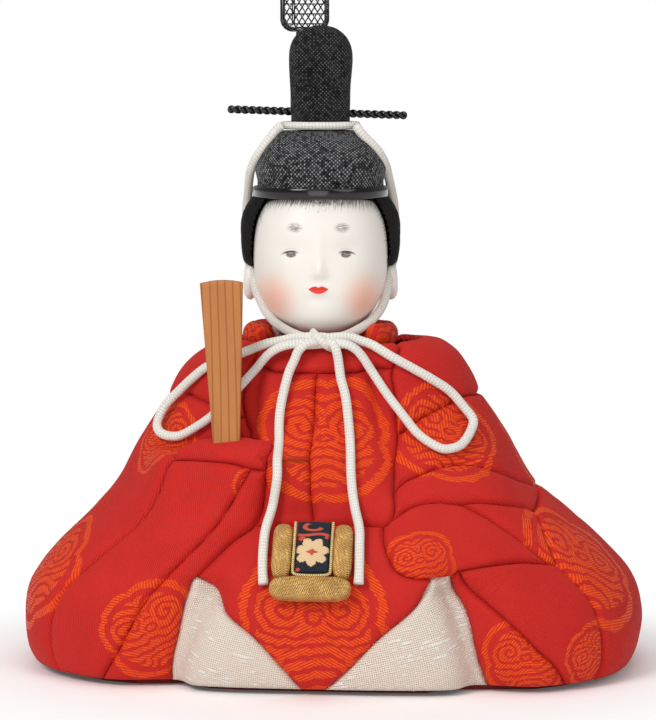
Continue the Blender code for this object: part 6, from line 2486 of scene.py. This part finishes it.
    def tail_tang(self, back: float, shift: Grid) -> None:
        """Build the tang that stands in the socket.

        Args:
            back: how far back it stands.
            shift: how far it is moved sideways.
        """
        heights = np.linspace(141.0 * MM, 158.9 * MM, 40)
        turn = np.arange(28) / 28 * 2 * np.pi
        reach = squared(turn, 6)
        ring = np.stack([3.6 * MM * reach * np.cos(turn), 0.44 * MM * reach * np.sin(turn)], 1)
        points = np.stack(
            [np.stack([ring[:, 0], back + ring[:, 1], np.full(28, height)], 1) for height in heights]
        )
        cloth = np.stack([points[..., 0].ravel(), points[..., 2].ravel(), np.zeros(points[..., 0].size)], 1)
        piece(
            "tail_tang", moved(points.reshape(-1, 3) + shift, NECK), tube_faces(40, 28), self.gauze,
            Body.TAIL, Slot.BLACK_GAUZE, "cap_tail", cloth=cloth,
        )

    def build(self) -> None:
        """Build the cap."""
        self.rim()
        self.woven("gauze_crown", "cap_crown", CROWN_FORM, 0.0, 180, 60, 0.9 * MM)
        self.woven("gauze_cup", "cap_koji", KOJI_FORM, 2.4 * MM, 140, 90, 0.0)
        self.pin()
        self.tail()


# Waist ornament


def ornament_frame() -> Grid:
    """The waist ornament's own frame.

    Returns:
        A matrix with X across, Y up its slope and Z out of the lap.
    """
    seat = BODY_FORM.surface(np.array([0.0]), np.array([0.345]))[0]
    place = Matrix.Translation((-0.3 * MM, seat[1], seat[2])) @ Matrix.Rotation(math.radians(56.0), 4, "X")
    return np.array(place)


@dataclass(frozen=True)
class WaistOrnament:
    """Three stuffed gold rolls round a flowered band, with a gold piping between."""

    gold: bpy.types.Material
    band: bpy.types.Material
    piping: bpy.types.Material
    lift: float = 3.1 * MM

    def roll(self, name: str, width: float, height: float, x: float, y: float, lying: bool) -> None:
        """Build one roll.

        Args:
            name: the packed node's name.
            width: its width.
            height: its height.
            x: its centre across.
            y: its centre up.
            lying: whether it is stuffed across instead of up.
        """
        if lying:
            points, cloth = cushion(height, width, 4.2 * MM)
            points = points[:, [1, 0, 2]] * [1, -1, 1]
        else:
            points, cloth = cushion(width, height, 4.2 * MM)
        ridge = ripples(points, 0.10 * MM, 3.4 * MM, x / MM) + ripples(points, 0.05 * MM, 1.1 * MM, y / MM)
        points = points + unit(points * [1.0, 0.25, 1.0]) * ridge[:, None]
        made = piece(
            f"stuffed_{name}", moved(points + [x, y, self.lift], ornament_frame()), tube_faces(40, 56),
            self.gold, Body.ROBE, Slot.GOLD_BROCADE, name, cloth=cloth,
        )

    def flower_band(self) -> None:
        """Build the flowered band, folded over its stiffening."""
        rows, columns = 90, 64
        half_width, low, high = 4.0 * MM, -4.4 * MM, 9.2 * MM
        x, y = np.meshgrid(np.linspace(-1, 1, columns), np.linspace(0, 1, rows))
        top = 1.0 * MM + 3.6 * MM
        edge = np.clip((1 - np.abs(x)) * half_width / (0.7 * MM), 0, 1)
        end = np.clip(np.minimum(y, 1 - y) * (high - low) / (0.7 * MM), 0, 1)
        drop = (1 - np.sqrt(1 - (1 - edge) ** 2)) * 0.9 * MM + (1 - np.sqrt(1 - (1 - end) ** 2)) * 0.9 * MM
        crown = 0.45 * MM * (1 - x**2)
        face = np.stack([x * half_width, low + y * (high - low), top - drop + crown], 2)
        border = np.concatenate([face[0], face[1:, -1], face[-1, -2::-1], face[-2:0:-1, 0]])
        levels = [border + [0, 0, drop_by * MM] for drop_by in (-0.9, -1.8, -2.7)]
        points = np.concatenate([face.reshape(-1, 3), *levels])
        index = np.arange(rows * columns).reshape(rows, columns)
        ring = np.concatenate([index[0], index[1:, -1], index[-1, -2::-1], index[-2:0:-1, 0]])
        faces = lattice(rows, columns)
        count = len(ring)
        rings = [ring, *(rows * columns + number * count + np.arange(count) for number in range(3))]
        for above, below in zip(rings, rings[1:]):
            walls = np.stack([above, np.roll(above, -1), np.roll(below, -1), below], 1)
            faces += [tuple(wall) for wall in walls.tolist()]
        faces.append(tuple(rings[-1].tolist()))
        cloth = np.stack([points[:, 0] / MM + 0.1, points[:, 1] / MM - 0.9, points[:, 2] * 0], 1)
        piece(
            "flower_band", moved(points + [0.2 * MM, 0, 0], ornament_frame()), faces, self.band, Body.ROBE,
            Slot.NAVY_BROCADE, "waist_band", cloth=cloth,
        )

    def cord(self) -> None:
        """Build the piping round the band."""
        x_right, x_left, low, high, top = -4.30, 4.70, -4.85, 9.0, 4.35
        knots = np.array(
            [
                (x_right, high, top), (x_right, 6.0, top + 0.1), (x_right, 2.0, top + 0.1),
                (x_right, low + 1.2, top),
                (x_right + 0.35, low + 0.4, top), (x_right + 1.3, low, top), (0.2, low - 0.15, top + 0.1),
                (x_left - 1.3, low, top), (x_left - 0.35, low + 0.4, top), (x_left, low + 1.2, top),
                (x_left, 2.0, top + 0.1), (x_left, 6.0, top + 0.1), (x_left, high, top),
            ]
        )
        course = moved(evenly(knots * MM, 150), ornament_frame())
        piece(
            "gold_piping", tube_rows(course, np.full(150, 0.36 * MM), 1.0, 12, (0, -1, 1)),
            tube_faces(150, 12), self.piping, Body.ROBE, Slot.GOLD_CORD, "waist_trim_cord",
            braid=braid_rows(course, 12, 0.1),
        )

    def build(self) -> None:
        """Build the ornament."""
        self.roll("waist_roll_right", 4.9 * MM, 14.2 * MM, -7.15 * MM, 1.7 * MM, False)
        self.roll("waist_roll_left", 4.6 * MM, 14.2 * MM, 7.3 * MM, 1.7 * MM, False)
        self.roll("waist_roll_lower", 19.6 * MM, 5.8 * MM, 0.0, -7.9 * MM, True)
        self.flower_band()
        self.cord()


@dataclass(frozen=True)
class Tablet:
    """The wooden court tablet: a thin board, wider at its arched top."""

    wood: bpy.types.Material

    def build(self) -> None:
        """Build the board."""
        rows, columns = 110, 48
        top, foot = 40.6 * MM, -12.0 * MM
        turn = np.arange(columns) / columns * 2 * np.pi
        reach = squared(turn, 9)
        ring_x, ring_y = reach * np.cos(turn), reach * np.sin(turn)
        share = np.linspace(0, 1, rows)
        heights = foot + (top - foot) * share
        half = np.interp(heights, [foot, 0.0, top], [3.2 * MM, 3.2 * MM, 5.25 * MM])
        x = half[:, None] * ring_x[None]
        y = np.broadcast_to(0.8 * MM * ring_y[None], x.shape)
        arch = 0.66 * MM * (1 - (x / half[:, None]) ** 2) * np.clip((share[:, None] - 0.8) / 0.2, 0, 1)
        z = heights[:, None] + arch
        ease = np.clip((1 - share[:, None]) * (top - foot) / (0.4 * MM), 0, 1)
        y = y * (0.55 + 0.45 * np.sqrt(1 - (1 - ease) ** 2))
        points = np.stack([x, y, z], 2).reshape(-1, 3)
        matrix = np.array(Matrix.Translation(TABLET_PLACE) @ Matrix.Rotation(TABLET_TILT, 4, "Y"))
        cloth = np.stack([points[:, 0], points[:, 2], points[:, 1]], 1)
        piece(
            "court_tablet", moved(points, matrix), tube_faces(rows, columns), self.wood, Body.TABLET,
            Slot.TABLET_WOOD, "shaku", cloth=cloth,
        )


# Studio


@dataclass(frozen=True)
class SoftBox:
    """One soft lamp."""

    name: str
    place: tuple[float, float, float]
    aim: tuple[float, float, float]
    size: float
    power: float
    colour: tuple[float, float, float] = (1.0, 1.0, 1.0)


@dataclass(frozen=True)
class Studio:
    """The pale floor, the lamps and the camera."""

    boxes: tuple[SoftBox, ...] = (
        SoftBox("key_light", (-0.55, -0.95, 0.85), (0.0, 0.0, 0.08), 0.6, 8.7),
        SoftBox("fill_light", (0.75, -0.80, 0.55), (0.0, 0.0, 0.08), 0.8, 2.6),
        SoftBox("top_light", (0.0, -0.05, 1.10), (0.0, 0.0, 0.05), 0.9, 3.3),
        SoftBox("front_light", (0.05, -1.30, 0.22), (0.0, 0.0, 0.10), 0.6, 1.5),
    )
    lens: float = 160.0
    camera_place: tuple[float, float, float] = (82.2 * MM, -795.8 * MM, 150.0 * MM)
    camera_dip: float = 5.29
    camera_turn: float = 6.0
    fade: Place = (0.066, 0.120)
    lift: float = 0.05
    dim: float = 0.26
    floor_side: float = 6.0

    def camera(self) -> None:
        """Set up the camera."""
        data = bpy.data.cameras.new("camera")
        data.lens = self.lens
        data.sensor_width = 36.0
        data.clip_start = 0.01
        camera = shown("camera", data)
        camera.location = self.camera_place
        camera.rotation_euler = (math.radians(90 - self.camera_dip), 0.0, math.radians(self.camera_turn))
        bpy.context.scene.camera = camera
        bpy.context.view_layer.update()

    def floor(self) -> None:
        """Lay the pale floor, which turns to plain white away from the doll."""
        r = Recipe("pale_floor")
        x, y, _ = r.split(r.place())
        away = r.step(r.reach(x, y), *self.fade)
        grain = r.noise(r.place(), 800.0, 2.0)
        r.surface(r.mix(grain * 0.02, tint("FCF8F7"), tint("F2EEED")), 0.9)
        r.gloss(specular_ior_level=0.0)
        glow, lift = r.node("Emission"), r.node("Emission", WHITE, self.lift)
        sight = r.node("LightPath").socket.node.outputs
        seen = r.most(Signal(r, sight["Is Camera Ray"]), Signal(r, sight["Is Glossy Ray"]))
        plain = Signal(r, r.shader.outputs[0])
        near = r.node("MixShader", seen, plain, r.node("AddShader", plain, lift))
        output = next(node for node in r.tree.nodes if node.type == "OUTPUT_MATERIAL")
        r.set(output.inputs["Surface"], r.node("MixShader", away * seen, near, glow))
        data = bpy.data.meshes.new("floor")
        side = self.floor_side
        data.from_pydata(
            [(-side, -side, 0), (side, -side, 0), (side, side, 0), (-side, side, 0)], [], [(0, 1, 2, 3)]
        )
        data.materials.append(r.material)
        floor = shown("floor", data)
        floor.location.z = -0.02 * MM

    def world(self) -> None:
        """Make the surroundings white."""
        world = bpy.data.worlds.new("white_room")
        bpy.context.scene.world = world
        world.use_nodes = True
        tree = world.node_tree
        back = tree.nodes["Background"]
        back.inputs["Color"].default_value = WHITE
        sight = tree.nodes.new("ShaderNodeLightPath")
        seen = tree.nodes.new("ShaderNodeMath")
        seen.operation = "MAXIMUM"
        for name, socket in zip(("Is Camera Ray", "Is Transmission Ray"), seen.inputs):
            tree.links.new(sight.outputs[name], socket)
        level = tree.nodes.new("ShaderNodeMapRange")
        level.inputs["To Min"].default_value = self.dim
        level.inputs["To Max"].default_value = 1.0
        tree.links.new(seen.outputs[0], level.inputs["Value"])
        tree.links.new(level.outputs["Result"], back.inputs["Strength"])

    def lamps(self) -> None:
        """Hang the lamps."""
        for box in self.boxes:
            data = bpy.data.lights.new(box.name, "AREA")
            data.shape = "DISK"
            data.size = box.size
            data.energy = box.power
            data.color = box.colour
            lamp = shown(box.name, data)
            lamp.location = box.place
            way = Vector(box.aim) - Vector(box.place)
            lamp.rotation_euler = way.to_track_quat("-Z", "Y").to_euler()

    def build(self) -> None:
        """Set up the studio."""
        self.camera()
        self.floor()
        self.world()
        self.lamps()
        bpy.context.scene.view_settings.view_transform = "Standard"


def finish_kept_nodes(looks: dict[str, bpy.types.Material]) -> None:
    """Give the packed nodes that stay in view their materials.

    Args:
        looks: each node's material.
    """
    for name, look in looks.items():
        node = bpy.data.objects[name]
        node.data.materials.clear()
        node.data.materials.append(look)
        workshop.info("finished %s", name)


def main() -> None:
    """Build the doll's look and finish it."""
    logging.basicConfig(level=logging.INFO, format="%(name)s: %(message)s")
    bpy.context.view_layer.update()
    Studio().build()
    crepe = Crepe("red_crepe").material()
    lacquer = Lacquer().material()
    CordTie(Braid().material()).build()
    Robe(crepe, IvoryBrocade().material()).build()
    Collars(crepe, PlainSilk().material()).build()
    DollHead(ShellWhite().material(), SilkHair().material()).build()
    CourtCap(Gauze().material(), lacquer).build()
    WaistOrnament(GoldThread().material(), FlowerBand().material(), GoldPiping().material()).build()
    Tablet(Timber("tablet_cedar", "C9864A", "8A4A22").material()).build()
    finish_kept_nodes(
        {
            "body_core": WoodPaste().material(),
            "base_cover": Paper().material(),
            "neck_peg": Timber("bare_wood", "D9BB8A", "A87B48", grain_attribute=False).material(),
            "tail_socket": lacquer,
        }
    )


if __name__ == "__main__":
    main()
